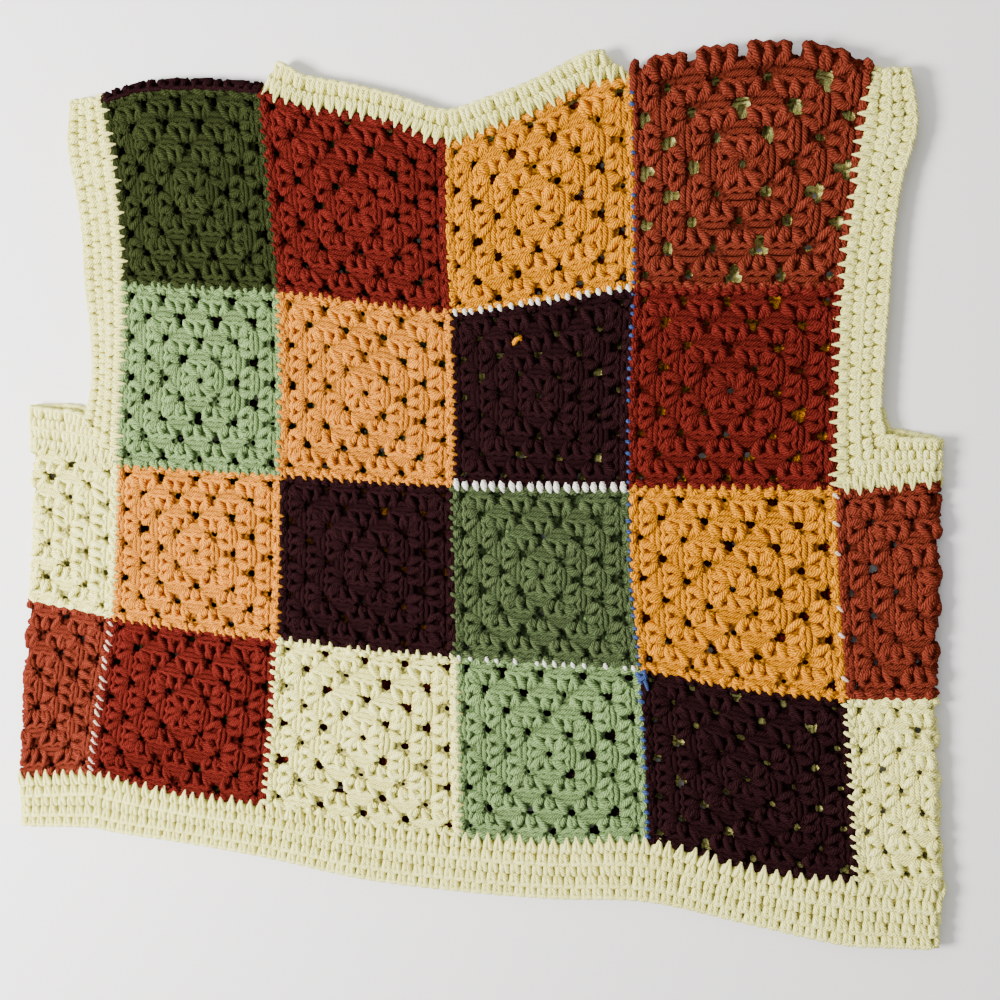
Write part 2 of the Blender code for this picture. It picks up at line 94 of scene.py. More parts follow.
# Seams between rows of squares: y at u = 0, 0.5 ... 4 (squares from the left edge)
ROW_SEAMS = (
    # u0,   u0.5,   u1,     u1.5,   u2,     u2.5,   u3,     u3.5,   u4
    (247.0, 251.0, 246.5, 231.0, 212.5, 228.0, 243.5, 253.0, 243.0),
    (131.5, 128.0, 125.5, 119.0, 113.5, 120.0, 127.5, 127.0, 127.5),
    (13.5, 12.0, 11.0, 9.5, 9.0, 9.5, 11.5, 13.5, 15.5),
    (-92.5, -96.5, -98.5, -100.5, -100.5, -100.0, -98.5, -104.5, -106.5),
    (-206.0, -214.5, -215.0, -219.0, -219.5, -216.0, -207.5, -217.5, -217.0),
)

# The two sides of the body. fold_x: outermost x at v = 2, 2.5 ... 4. fold_y: y of row seams 2, 3 and 4 at the fold.
# arm_widths: the armhole band from the shoulder down. underarm: its width at the seam and at the fold.
# shoulder_y: topmost y over the shoulder square at its local -1, -0.5, 0, 0.5, 1.
Edge = namedtuple("Edge", "sign column fold_x fold_y arm_widths underarm shoulder_y")
EDGES = {
    "left": Edge(
        sign=-1.0, column=0,
        fold_x=(-287.0, -289.0, -295.5, -303.5, -310.0), fold_y={2: 23.5, 3: -84.0, 4: -216.0},
        arm_widths=(23.0, 30.5, 29.0, 27.5, 27.5, 23.0, 20.5, 23.0, 24.5), underarm=(29.5, 26.5),
        shoulder_y=(250.0, 255.5, 256.0, 254.5, 251.5),
    ),
    "right": Edge(
        sign=1.0, column=COLUMNS,
        fold_x=(292.5, 296.5, 299.5, 304.5, 310.5), fold_y={2: 22.5, 3: -101.0, 4: -215.0},
        arm_widths=(19.0, 26.5, 22.5, 22.5, 24.0, 23.5, 22.5, 22.5, 25.5), underarm=(29.5, 22.5),
        shoulder_y=(249.5, 254.0, 256.5, 254.5, 244.0),
    ),
}

# Neck line: u, y of the squares' edge, y of the band's free edge
NECK_LINE = (
    (1.00, 246.5, 262.0),
    (1.25, 236.5, 254.0),
    (1.50, 231.5, 247.5),
    (1.75, 224.5, 239.5),
    (2.00, 212.5, 230.5),
    (2.25, 220.0, 237.0),
    (2.50, 228.5, 245.5),
    (2.75, 241.0, 257.0),
    (3.00, 243.5, 258.0),
)
NECK_MITRE = {"left": 9.0, "right": 17.0}
NECK_FAN = 0.39
BACK_NECK_DROP = 6.0

# Width of the hem at u = -0.5, 0 ... 4.5, and how much wider the back is than the front under the arms
HEM_WIDTHS = (36.0, 40.0, 34.0, 36.5, 38.0, 37.0, 37.0, 38.5, 34.5, 40.0, 36.0)
BACK_UNDERARM_EXTRA = 5.0

# Places where the upper layer stands up: u, v, height, spread in squares
LIFTS = (
    (2.10, 0.55, 2.2, 0.20),
    (0.15, 1.60, 1.6, 0.35),
    (3.55, 0.25, 2.0, 0.45),
    (0.55, 2.45, 1.2, 0.40),
    (1.55, 2.50, 1.5, 0.45),
    (2.60, 1.45, 1.3, 0.40),
    (3.45, 2.55, 1.5, 0.40),
    (1.50, 3.55, 1.2, 0.45),
    (2.95, 3.75, 1.8, 0.35),
    (0.10, 3.80, 1.6, 0.30),
    (3.95, 4.15, 1.4, 0.35),
)

# The body's own middle, moved onto the middle of the solid panels
SHIFT = Vector((
    CAD_HIGH.x / MM - EDGES["right"].fold_x[-1],
    CAD_HIGH.y / MM - NECK_LINE[0][2],
    0.0,
))

# Yarn colours, as they look in soft daylight
YARN_COLOURS = {
    "olive": (0.0297, 0.0377, 0.0119),
    "brick": (0.126, 0.0132, 0.0095),
    "mustard": (0.700, 0.253, 0.001),
    "rust": (0.178, 0.029, 0.0152),
    "mint": (0.197, 0.305, 0.112),
    "peach": (0.715, 0.248, 0.019),
    "aubergine": (0.0185, 0.0060, 0.0071),
    "green": (0.069, 0.0965, 0.0385),
    "cream": (0.985, 0.890, 0.255),
    "white": (0.950, 0.890, 0.700),
    "blue": (0.050, 0.085, 0.230),
    "rose": (0.800, 0.520, 0.400),
}
PALE_YARNS = ("cream", "white", "rose")
FRONT_YARNS = (
    ("olive", "brick", "mustard", "rust"),
    ("mint", "peach", "aubergine", "brick"),
    ("peach", "aubergine", "green", "mustard"),
    ("brick", "cream", "mint", "aubergine"),
)
BACK_YARNS = (
    ("aubergine", "olive", "rust", "cream"),
    ("aubergine", "green", "cream", "mustard"),
    ("olive", "mustard", "mint", "brick"),
    ("olive", "brick", "aubergine", "cream"),
)
FRONT_OPENNESS = (
    (0.95, 0.95, 1.05, 1.35),
    (1.05, 0.95, 0.80, 1.05),
    (0.95, 0.75, 1.00, 0.95),
    (0.85, 1.10, 1.10, 0.95),
)
SIDE_YARNS = {("left", 3): "cream", ("left", 4): "rust", ("right", 3): "rust", ("right", 4): "cream"}

# A granny square: lines where its rounds end, in half sides from the middle, and the step between clusters
ROUND_LINES = (0.020, 0.222, 0.444, 0.667, 0.889, 1.005)
CLUSTER_STEP = 0.444
TOP_SPREAD = 0.141
FOOT_SPREAD = 0.086
EDGE_ROUND_SQUEEZE = 0.945

# The thin heart under the yarn: how far it lies below the middle of the cloth, its thickness, its cells across a
# square, its share of the square, and the share of the yarn's colour that it shows: painted shade between the strands
HEART_DROP = 0.25
HEART_THICK = 0.5
HEART_CELLS = 18
HEART_SHARE = 0.996
FRONT_SHADE = 0.38
BACK_SHADE = 0.30
BAND_SHADE = 0.5

# Half widths of the gaps that end each round, in half sides; round 0 is the middle of the square
GAP_SIZES = {1: 0.040, 2: 0.050, 3: 0.058, 4: 0.052, 0: 0.050}

# The back and the undersides, which the photo doesn't show, are worked flatter, thinner and with fewer faces
BACK_OPENING = 0.55
SIDE_OPENING = 0.8
BACK_RELIEF = 0.5
BACK_BAND_RELIEF = 0.4
BACK_THICK = 0.85
FRONT_SIDES = 5
BACK_SIDES = 4

# Where the heart is cut so that it bends round a fold: b over a shoulder, a at a side
SHOULDER_CUTS = (0.822, 0.862, 0.903, 0.944, 0.985)
SIDE_CUTS = (-0.095, -0.048, 0.0, 0.048, 0.095)

# How far the clusters puff out over a shoulder fold, in millimetres, and where on the square that starts
SCALLOPS = {"front_r1c4": 4.2, "back_r1c1": 2.0}
SCALLOP_START = 0.66

# Places at which a band's mean width is taken
WIDTH_SAMPLES = 40


def smooth_table(values, t):
    """Value of an evenly spaced table at position t, on a smooth curve through its entries."""
    last = len(values) - 1
    t = min(max(t, 0.0), float(last))
    i = min(int(t), last - 1)
    f = t - i
    p1, p2 = values[i:i + 2]
    p0 = values[i - 1] if i > 0 else 2.0 * p1 - p2
    p3 = values[i + 2] if i + 2 <= last else 2.0 * p2 - p1
    bend = 2.0 * p0 - 5.0 * p1 + 4.0 * p2 - p3
    return 0.5 * (2.0 * p1 + (p2 - p0) * f + bend * f * f + (3.0 * p1 - p0 - 3.0 * p2 + p3) * f ** 3)


def lerp(a, b, t):
    return a + (b - a) * t


def lift(u, v):
    """Height of the upper layer above its flat rest at a place of the body."""
    side = min(abs(u + 0.5), abs(u - 4.5))
    rise = FOLD_RISE * math.exp(-(side / FOLD_RISE_SPREAD) ** 2) if v > 1.7 else 0.0
    if u < 1.2 or u > 2.8:
        rise = max(rise, FOLD_RISE * math.exp(-(v / FOLD_RISE_SPREAD) ** 2))
    for at_u, at_v, height, spread in LIFTS:
        distance = ((u - at_u) ** 2 + (v - at_v) ** 2) / spread ** 2
        if distance < 9.0:
            rise += height * math.exp(-distance)
    return LIFT_LIMIT * math.tanh(rise / LIFT_LIMIT)


def neck_edge(u, column):
    """Neck line at u: column 1 is the squares' edge, column 2 the band's free edge."""
    return smooth_table([row[column] for row in NECK_LINE], (u - 1.0) * 4.0)


def seam_x(column, v):
    return smooth_table(COLUMN_SEAMS[column], v * 2.0)


def seam_y(row, u):
    if row == 0 and 1.0 <= u <= 3.0:
        return neck_edge(u, 1)
    return smooth_table(ROW_SEAMS[row], u * 2.0)


def body_x(u, v):
    column = min(max(int(u), 0), COLUMNS - 1)
    return lerp(seam_x(column, v), seam_x(column + 1, v), u - column)


def body_y(u, v, side):
    row = min(max(int(v), 0), ROWS - 1)
    top = seam_y(row, u)
    if side == BACK and row == 0 and 1.0 <= u <= 3.0:
        top -= BACK_NECK_DROP
    return lerp(top, seam_y(row + 1, u), v - row)


def plan_x(u, v, y):
    """x of a body place. In the shoulder row it follows the seams at the same y in both layers."""
    if v < 1.0:
        top = seam_y(0, u)
        v = max((top - y) / (top - seam_y(1, u)), 0.0)
    return body_x(u, v)


def layer_z(side, thick, u, v):
    """Height of the middle of the cloth in the upper or lower layer."""
    if side == BACK:
        return thick / 2.0
    return FRONT_BOTTOM + thick / 2.0 + lift(u, v)


def fold_profile(s, thick, z_top):
    """Section across a fold. s is the length along the cloth from the fold, + on the upper layer.

    Gives the distance in from the outermost line, the height, and the outward and upward parts
    of the direction across the cloth.
    """
    z_low = thick / 2.0
    radius = (z_top - z_low) / 2.0
    quarter = radius * math.pi / 2.0
    centre_in = thick / 2.0 + radius
    if abs(s) >= quarter:
        z = z_top if s > 0.0 else z_low
        return centre_in + abs(s) - quarter, z, 0.0, (1.0 if s > 0.0 else -1.0)
    angle = s / radius
    inward = centre_in - radius * math.cos(angle)
    z = z_low + radius + radius * math.sin(angle)
    return inward, z, math.cos(angle), math.sin(angle)


def fold_quarter(thick, z_top):
    return (z_top - thick / 2.0) * math.pi / 4.0


def fold_inset(thick, z_top):
    return thick / 2.0 + (z_top - thick / 2.0) / 2.0


def at(x, y, z):
    return Vector((x, y, z)) + SHIFT


def flat_square(side, row, column):
    """Place of each local point of a square that lies in one layer."""
    def place(a, b):
        u = column - 1 + (a + 1.0) / 2.0
        v = row - 1 + (1.0 - b) / 2.0
        y = body_y(u, v, side)
        return at(plan_x(u, v, y), y, layer_z(side, SQUARE_THICK, u, v)), Vector((0.0, 0.0, side))
    return place


def shoulder_square(side, column):
    """A square of the shoulder row. The left seam lies in front of the fold, the right one behind."""
    tops = EDGES["left" if column == 1 else "right"].shoulder_y

    def place(a, b):
        u = column - 1 + (a + 1.0) / 2.0
        v = (1.0 - b) / 2.0
        out_y = smooth_table(tops, (a + 1.0) / 2.0 * (len(tops) - 1))
        z_top = layer_z(FRONT, SQUARE_THICK, u, 0.0)
        quarter = fold_quarter(SQUARE_THICK, z_top)
        seam = quarter + SHOULDER_SEAM_DROP
        s_seam = seam if column == 1 else -seam
        start = s_seam - side * SEAM_GAP / 2.0
        straight = out_y - fold_inset(SQUARE_THICK, z_top) - seam_y(1, u)
        s = lerp(start, side * (quarter + straight), v)
        inward, z, out_part, up_part = fold_profile(s, SQUARE_THICK, z_top)
        if s > quarter:
            z = layer_z(FRONT, SQUARE_THICK, u, v)
        y = out_y - inward
        return at(plan_x(u, min(v, 0.999), y), y, z), Vector((0.0, out_part, up_part))
    return place


def side_square(hand, row):
    """A square folded round the side edge: local a runs from the front seam to the back seam."""
    def place(a, b):
        return side_fold(hand, row - 1 + (1.0 - b) / 2.0, a, SQUARE_THICK)
    return place


def side_fold(hand, v, a, thick, y_in=None, y_out=None):
    """Place on the cloth that turns round a side edge; a = -1 front seam, 0 fold, 1 back seam."""
    edge = EDGES[hand]
    fold_x = smooth_table(edge.fold_x, (v - 2.0) * 2.0)
    z_top = layer_z(FRONT, thick, edge.column + edge.sign / 2.0, v)
    quarter = fold_quarter(thick, z_top)
    seam = seam_x(edge.column, v)
    straight = abs(fold_x - seam) - fold_inset(thick, z_top) - SEAM_GAP / 2.0
    s = -a * (straight + quarter)
    inward, z, out_part, up_part = fold_profile(s, thick, z_top)
    x = fold_x - edge.sign * inward
    share = abs(x - seam) / abs(fold_x - seam)
    if s > quarter:
        z = layer_z(FRONT, thick, edge.column + edge.sign * share / 2.0, v)
    if y_in is None:
        row = min(max(int(v), 2), ROWS - 1)
        top, low = (lerp(seam_y(k, edge.column), edge.fold_y[k], share) for k in (row, row + 1))
        y = lerp(top, low, v - row)
    else:
        y = lerp(y_in, y_out, share)
    return at(x, y, z), Vector((edge.sign * out_part, 0.0, up_part))


def even(start, end, count):
    return [lerp(start, end, k / (count - 1.0)) for k in range(count)]


# Shares of a quarter turn at which a band's fold has its stations
FOLD_SHARES = (0.0, 0.25, 0.5, 0.75, 1.0)


def round_body(turn, straight, shares, along):
    """Closed run of stations from the left fold over the front to the right fold and home along the back."""
    stations = [turn("left", s) for s in shares]
    stations += [straight(u, FRONT) for u in along]
    stations += [turn("right", s) for s in reversed(shares)]
    stations += [turn("right", -s) for s in shares[1:]]
    stations += [straight(u, BACK) for u in reversed(along)]
    stations += [turn("left", -s) for s in reversed(shares[1:])]
    return stations


def hem_stations():
    """Stations of the hem. Each holds the band's inner point, its outer point and the way across the cloth."""
    def turn(hand, s):
        edge = EDGES[hand]
        near, far = HEM_WIDTHS[1::-1] if hand == "left" else HEM_WIDTHS[-2:]
        seam = seam_y(4, edge.column)
        fold = edge.fold_y[4]
        inner, across = side_fold(hand, 4.0, -s, BAND_THICK, seam - SEAM_GAP, fold - SEAM_GAP)
        outer, _ = side_fold(hand, 4.0, -s, BAND_THICK, seam - near, fold - far)
        return inner, outer, across

    def straight(u, side):
        width = smooth_table(HEM_WIDTHS, (u + 0.5) * 2.0)
        x = body_x(u, 4.0)
        y = body_y(u, 4.0, side)
        z = layer_z(side, BAND_THICK, u, 4.0)
        return at(x, y - SEAM_GAP, z), at(x, y - width, z), Vector((0.0, 0.0, side))

    shares = (0.0, 0.024, 0.048, 0.072, 0.095, 0.2, 0.4, 0.6, 0.8)
    return round_body(turn, straight, shares, even(0.0, float(COLUMNS), 41))


def armhole_stations(hand):
    """Stations of an armhole band: down the front, out under the arm, round the side fold and up the back."""
    edge = EDGES[hand]
    out_y = edge.shoulder_y[0 if hand == "left" else -1]
    z_top = layer_z(FRONT, BAND_THICK, edge.column, 0.0)
    quarter = fold_quarter(BAND_THICK, z_top)
    near = seam_y(2, edge.column) + SEAM_GAP
    far = edge.fold_y[2] + SEAM_GAP

    def beside(v):
        return seam_x(edge.column, v) + edge.sign * SEAM_GAP

    def upright(side, v):
        width = edge.sign * smooth_table(edge.arm_widths, v * 4.0)
        y = body_y(edge.column, v, side)
        z = layer_z(side, BAND_THICK, edge.column, v)
        return at(beside(v), y, z), at(beside(v) + width, y, z), Vector((0.0, 0.0, side))

    def shoulder(s):
        inward, z, out_part, up_part = fold_profile(s, BAND_THICK, z_top)
        y = out_y - inward
        outer = at(beside(0.0) + edge.sign * edge.arm_widths[0], y - SHOULDER_BAND_SLOPE, z)
        return at(beside(0.0), y, z), outer, Vector((0.0, out_part, up_part))

    def elbow(side):
        extra = BACK_UNDERARM_EXTRA if side == BACK else 0.0
        z = layer_z(side, BAND_THICK, edge.column, 2.0)
        outer = at(beside(2.0) + edge.sign * edge.arm_widths[-1], near + edge.underarm[0] + extra, z)
        return at(beside(2.0), near, z), outer, Vector((0.0, 0.0, side))

    def under_arm(a):
        extra = BACK_UNDERARM_EXTRA * min(max(a, 0.0) * 2.0, 1.0)
        inner, across = side_fold(hand, 2.0, a, BAND_THICK, near, far)
        seam_width, fold_width = edge.underarm
        outer, _ = side_fold(hand, 2.0, a, BAND_THICK, near + seam_width + extra, far + fold_width + extra)
        return inner, outer, across

    upright_v = even(0.0, 1.607, 18)[2:]
    folded = (0.46, 0.35, 0.2, 0.095, 0.072, 0.048, 0.024, 0.0)
    stations = [shoulder(s * quarter) for s in FOLD_SHARES]
    stations += [upright(FRONT, v) for v in upright_v] + [elbow(FRONT)]
    stations += [under_arm(-a) for a in folded]
    stations += [under_arm(a) for a in reversed(folded[:-1])]
    stations += [elbow(BACK)] + [upright(BACK, v) for v in reversed(upright_v)]
    stations += [shoulder(-s * quarter) for s in reversed(FOLD_SHARES[1:])]
    return stations


def neck_stations():
    """Stations of the neck band, whose left and right ends are mitred at the shoulder folds."""
    left_x, middle_x, right_x = (seam_x(column, 0.0) for column in (1, 2, 3))

    def square_edge(x):
        if x < middle_x:
            return neck_edge(1.0 + (x - left_x) / (middle_x - left_x), 1)
        return neck_edge(3.0 - (right_x - x) / (right_x - middle_x), 1)

    def fold(hand, s_share):
        sign, u, seam = (1.0, 1.0, left_x) if hand == "left" else (-1.0, 3.0, right_x)
        z_top = layer_z(FRONT, BAND_THICK, u, 0.0)
        inward, z, out_part, up_part = fold_profile(s_share * fold_quarter(BAND_THICK, z_top), BAND_THICK, z_top)
        x = seam + sign * (SEAM_GAP + inward)
        drop = BACK_NECK_DROP * max(-s_share, 0.0)
        outer = at(x + sign * NECK_MITRE[hand], neck_edge(u, 2) - drop, z)
        return at(x, square_edge(x) - drop + SEAM_GAP, z), outer, Vector((-sign * out_part, 0.0, up_part))

    def straight(u, side):
        drop = BACK_NECK_DROP if side == BACK else 0.0
        x = body_x(u, 0.0)
        near_left = max(1.0 - (u - 1.0) / NECK_FAN, 0.0)
        near_right = max(1.0 - (3.0 - u) / NECK_FAN, 0.0)
        shift = near_left * NECK_MITRE["left"] - near_right * NECK_MITRE["right"]
        u_out = u + shift / (middle_x - left_x)
        z = layer_z(side, BAND_THICK, u, 0.0)
        outer = at(x + shift, neck_edge(u_out, 2) - drop, z)
        return at(x, neck_edge(u, 1) - drop + SEAM_GAP, z), outer, Vector((0.0, 0.0, side))

    return round_body(fold, straight, FOLD_SHARES, even(1.1725, 2.8275, 22))


class Rail:
    """The line round a band at one share of its width, measured along its own length."""

    def __init__(self, stations, w):
        self.stations = stations
        self.points = [inner.lerp(outer, w) for inner, outer, _ in stations]
        self.marks = [0.0]
        for before, after in zip(self.points, self.points[1:]):
            self.marks.append(self.marks[-1] + (after - before).length)
        self.length = self.marks[-1]
        self.last = 0

    def place(self, s, outward, off):
        """Point at length s, moved outward within the cloth and off its middle."""
        s %= self.length
        i = self.last
        if not self.marks[i] <= s <= self.marks[i + 1]:
            i = 0
            while self.marks[i + 1] < s:
                i += 1
            self.last = i
        gap = self.marks[i + 1] - self.marks[i]
        t = (s - self.marks[i]) / gap if gap else 0.0
        inner, outer, across = (self.stations[i][k].lerp(self.stations[i + 1][k], t) for k in range(3))
        across.normalize()
        along = (self.points[i + 1] - self.points[i]).normalized()
        out = (outer - inner) - along * along.dot(outer - inner)
        out.normalize()
        return self.points[i].lerp(self.points[i + 1], t) + out * outward + across * off, across

    def width(self, s):
        """Width of the band at length s."""
        self.place(s, 0.0, 0.0)
        inner, outer, _ = self.stations[self.last]
        return (outer - inner).length


class Strands:
    """Runs of yarn gathered for one piece: places, thickness, length along, tone and painted shade."""

    def __init__(self):
        self.points = []
        self.edges = []
        self.values = {"radius": [], "along": [], "tone": [], "painted_shade": []}

    def add(self, path, radii, tone, painted_shades):
        start = len(self.points)
        run = 0.0
        for i, place in enumerate(path):
            if i:
                run += (place - path[i - 1]).length
                self.edges.append((start + i - 1, start + i))
            self.points.append(Vector((place.x, place.y, max(place.z, radii[i] + 0.05))) * MM)
            self.values["radius"].append(radii[i] * MM)
            self.values["along"].append(run * MM)
            self.values["tone"].append(tone)
            # Painted shade: a share by which the strand's colour is darkened where it dives into the cloth
            self.values["painted_shade"].append(painted_shades[i])


def add_nodes(tree, kind, settings=None, sockets=None):
    """One node from its type, its settings and the values or links of its sockets."""
    node = tree.nodes.new(kind)
    for name, value in (settings or {}).items():
        setattr(node, name, value)
    for name, value in (sockets or {}).items():
        if isinstance(value, Value):
            value = value.socket
        if isinstance(value, bpy.types.NodeSocket):
            tree.links.new(value, node.inputs[name])
        else:
            node.inputs[name].default_value = value
    return node


class Value:
    """A number socket with plain arithmetic."""

    def __init__(self, tree, socket):
        self.tree = tree
        self.socket = socket

    def math(self, operation, *others, clamp=False):
        sockets = dict(enumerate((self,) + others))
        node = add_nodes(self.tree, "ShaderNodeMath", {"operation": operation, "use_clamp": clamp}, sockets)
        return Value(self.tree, node.outputs[0])

    def __add__(self, other):
        return self.math("ADD", other)

    def __sub__(self, other):
        return self.math("SUBTRACT", other)

    def __rsub__(self, other):
        return (self * -1.0) + other

    def __mul__(self, other):
        return self.math("MULTIPLY", other)

    __radd__ = __add__
    __rmul__ = __mul__

    def between(self, low, high):
        return (self - low).math("MULTIPLY", 1.0 / (high - low), clamp=True)


def sweep_group(sides):
    """Node group that turns runs of edges into round yarn with the given number of sides."""
    name = f"yarn_sweep_{sides}"
    if name in bpy.data.node_groups:
        return bpy.data.node_groups[name]
    group = bpy.data.node_groups.new(name, "GeometryNodeTree")
    group.interface.new_socket("Geometry", in_out="INPUT", socket_type="NodeSocketGeometry")
    group.interface.new_socket("Geometry", in_out="OUTPUT", socket_type="NodeSocketGeometry")
    start = add_nodes(group, "NodeGroupInput")
    curve = add_nodes(group, "GeometryNodeMeshToCurve", None, {"Mesh": start.outputs[0]})
    radius = add_nodes(group, "GeometryNodeInputNamedAttribute", {"data_type": "FLOAT"}, {"Name": "radius"})
    ring = add_nodes(group, "GeometryNodeCurvePrimitiveCircle", None, {"Resolution": sides, "Radius": 1.0})
    position = add_nodes(group, "GeometryNodeInputPosition")
    named = add_nodes(
        group, "GeometryNodeStoreNamedAttribute", {"data_type": "FLOAT_VECTOR", "domain": "POINT"},
        {"Geometry": ring.outputs["Curve"], "Name": "ring", "Value": position.outputs[0]},
    )
    swept = add_nodes(
        group, "GeometryNodeCurveToMesh", None,
        {"Curve": curve.outputs[0], "Profile Curve": named.outputs[0], "Scale": radius.outputs["Attribute"],
         "Fill Caps": True},
    )
    smooth = add_nodes(group, "GeometryNodeSetShadeSmooth", None, {"Geometry": swept.outputs[0]})
    end = add_nodes(group, "NodeGroupOutput")
    group.links.new(smooth.outputs[0], end.inputs[0])
    return group


def add_object(name, data):
    """A new object in the scene."""
    made = bpy.data.objects.new(name, data)
    bpy.context.scene.collection.objects.link(made)
    return made


def make_yarn(name, strands, sides, material):
    """Turns gathered strands into one mesh of round yarn."""
    lines = bpy.data.meshes.new(name + "_lines")
    lines.from_pydata(strands.points, strands.edges, [])
    for key, values in strands.values.items():
        lines.attributes.new(key, "FLOAT", "POINT").data.foreach_set("value", values)
    made = add_object(name, lines)
    made.modifiers.new("sweep", "NODES").node_group = sweep_group(sides)
    graph = bpy.context.evaluated_depsgraph_get()
    mesh = bpy.data.meshes.new_from_object(made.evaluated_get(graph), preserve_all_data_layers=True, depsgraph=graph)
    made.modifiers.clear()
    made.data = mesh
    bpy.data.meshes.remove(lines)
    mesh.name = name
    mesh.materials.clear()
    mesh.materials.append(material)
    return made


# Places of the colour sockets on a Mix node
MIX_A = 6
MIX_B = 7
MIX_RESULT = 2


def noise(tree, scale, detail, rough):
    """Fine cloudy pattern on the object's own coordinates."""
    place = add_nodes(tree, "ShaderNodeTexCoord").outputs["Object"]
    sockets = {"Vector": place, "Scale": scale, "Detail": detail, "Roughness": rough}
    return Value(tree, add_nodes(tree, "ShaderNodeTexNoise", None, sockets).outputs["Fac"])


def shaded(tree, colour, level):
    """A colour made lighter or darker by a level."""
    grey = add_nodes(tree, "ShaderNodeCombineColor", None, {"Red": level, "Green": level, "Blue": level})
    settings = {"data_type": "RGBA", "blend_type": "MULTIPLY", "clamp_result": True}
    sockets = {"Factor": 1.0, MIX_A: (*colour, 1.0), MIX_B: grey.outputs[0]}
    return add_nodes(tree, "ShaderNodeMix", settings, sockets).outputs[MIX_RESULT]


def new_material(name):
    """A new material and its empty tree."""
    material = bpy.data.materials.new(name)
    material.use_nodes = True
    material.node_tree.nodes.clear()
    return material, material.node_tree


def finish_material(tree, colour, roughness, height, strength, distance):
    """The matt woollen shader at the end of a tree, with its bump."""
    bump = add_nodes(tree, "ShaderNodeBump", None, {"Strength": strength, "Distance": distance, "Height": height})
    shader = add_nodes(
        tree, "ShaderNodeBsdfPrincipled", None,
        {"Base Color": colour, "Roughness": roughness, "Normal": bump.outputs[0], "Specular IOR Level": 0.0},
    )
    add_nodes(tree, "ShaderNodeOutputMaterial", None, {"Surface": shader.outputs[0]})


def yarn_material(settings, yarn):
    """Wool: twisting plies, loose fibres, painted shade in ply grooves and at feet, and painted highlights."""
    name = "wool_" + yarn
    if name in bpy.data.materials:
        return bpy.data.materials[name]
    colour = getattr(settings, "colour_" + yarn)
    material, tree = new_material(name)

    def read(attribute, output):
        return add_nodes(tree, "ShaderNodeAttribute", {"attribute_name": attribute}).outputs[output]

    ring = add_nodes(tree, "ShaderNodeSeparateXYZ", None, {0: read("ring", "Vector")})
    turn = Value(tree, ring.outputs["Y"]).math("ARCTAN2", Value(tree, ring.outputs["X"]))
    along, tone, painted_shade = (Value(tree, read(key, "Fac")) for key in ("along", "tone", "painted_shade"))
    wobble = noise(tree, 520.0, 1.0, 0.6)
    ply = (turn * 6.0 + along * (2.0 * math.pi / settings.ply_pitch) + wobble * 4.0).math("SINE")
    groove = (ply * 0.5 + 0.5).between(0.0, 0.85)
    fibre = noise(tree, 2300.0, 2.0, 0.6)
    fleck = noise(tree, 850.0, 1.0, 0.6)
    clump = noise(tree, 260.0, 2.0, 0.6)
    depth, bright = (0.95, 1.38) if yarn in PALE_YARNS else (1.0, 1.02)
    # Painted shade in the grooves between the plies, with their crests lighter
    level = groove * (0.80 * depth) + (1.17 - 0.80 * depth)
    level = level * (fibre * depth + (1.0 - 0.5 * depth))
    level = level * (fleck * (1.5 * depth) + (1.0 - 0.75 * depth))
    level = level * (clump * 0.35 + 0.83)
    level = level * (tone * (0.14 * depth) + 1.0)
    # Painted shade at the feet and ends of the strands, where they dive into the cloth
    level = level * (1.0 - painted_shade * 0.60) * bright
    # Painted highlight: a paler colour mixed in on the ply crests where the fibre noise is high
    pale = (*(min(1.0, part * 1.5) for part in colour), 1.0)
    painted_highlight = fibre.between(0.56, 0.72) * groove * 0.25
    shown = add_nodes(
        tree, "ShaderNodeMix", {"data_type": "RGBA"},
        {"Factor": painted_highlight, MIX_A: shaded(tree, colour, level), MIX_B: pale},
    )
    height = ply * 0.30 + fibre * 0.8 + fleck * 1.1
    finish_material(tree, shown.outputs[MIX_RESULT], 0.9, height, 0.9, 0.0006)
    return material


def core_material(settings, yarn, shade):
    """The heart of the cloth in painted shade: the yarn's colour darkened, seen only between strands."""
    name = f"wool_heart_{yarn}_{round(shade * 100)}"
    if name in bpy.data.materials:
        return bpy.data.materials[name]
    material, tree = new_material(name)
    fibre = noise(tree, 620.0, 3.0, 0.5)
    # Painted shade: the yarn's colour cut to a share of itself, mottled by the fibres
    level = fibre.between(0.36, 0.64) * (shade * 1.1) + shade * 0.30
    colour = shaded(tree, getattr(settings, "colour_" + yarn), level)
    finish_material(tree, colour, 0.95, fibre, 1.0, 0.0012)
    return material


def worked_lean(seed, side):
    """The lean of one worked square: its inner rounds turn a little and its first side slips sideways."""
    rng = random.Random(seed)
    turn = rng.uniform(0.02, 0.13) * side
    slips = [rng.uniform(0.02, 0.11), rng.uniform(-0.03, 0.03), rng.uniform(-0.05, 0.03), rng.uniform(-0.03, 0.03)]
    if side == BACK:
        slips = [-slips[0] - 0.03, slips[1] + 0.09, slips[2] + 0.09, slips[3] - 0.09]
    bends = [rng.uniform(-0.03, 0.03) for _ in range(4)]

    def lean(a, b):
        reach = min(max(abs(a), abs(b)), 1.0)
        angle = -turn * (1.0 - reach)
        c = math.cos(angle)
        s = math.sin(angle)
        a, b = a * c - b * s, a * s + b * c
        free = max(1.0 - a * a, 0.0) * max(1.0 - b * b, 0.0)
        side = max(1.0 - a * a, 0.0)
        a -= side * (slips[0] * max(b, 0.0) + slips[2] * max(-b, 0.0)) * (1.0 if abs(b) < 1.0 else 0.6)
        b += max(1.0 - b * b, 0.0) * (slips[1] * max(a, 0.0) + slips[3] * max(-a, 0.0))
        a += free * bends[0] * math.sin(3.0 * b + 7.0 * bends[1])
        b += free * bends[2] * math.sin(3.0 * a + 7.0 * bends[3])
        return a, b
    return lean


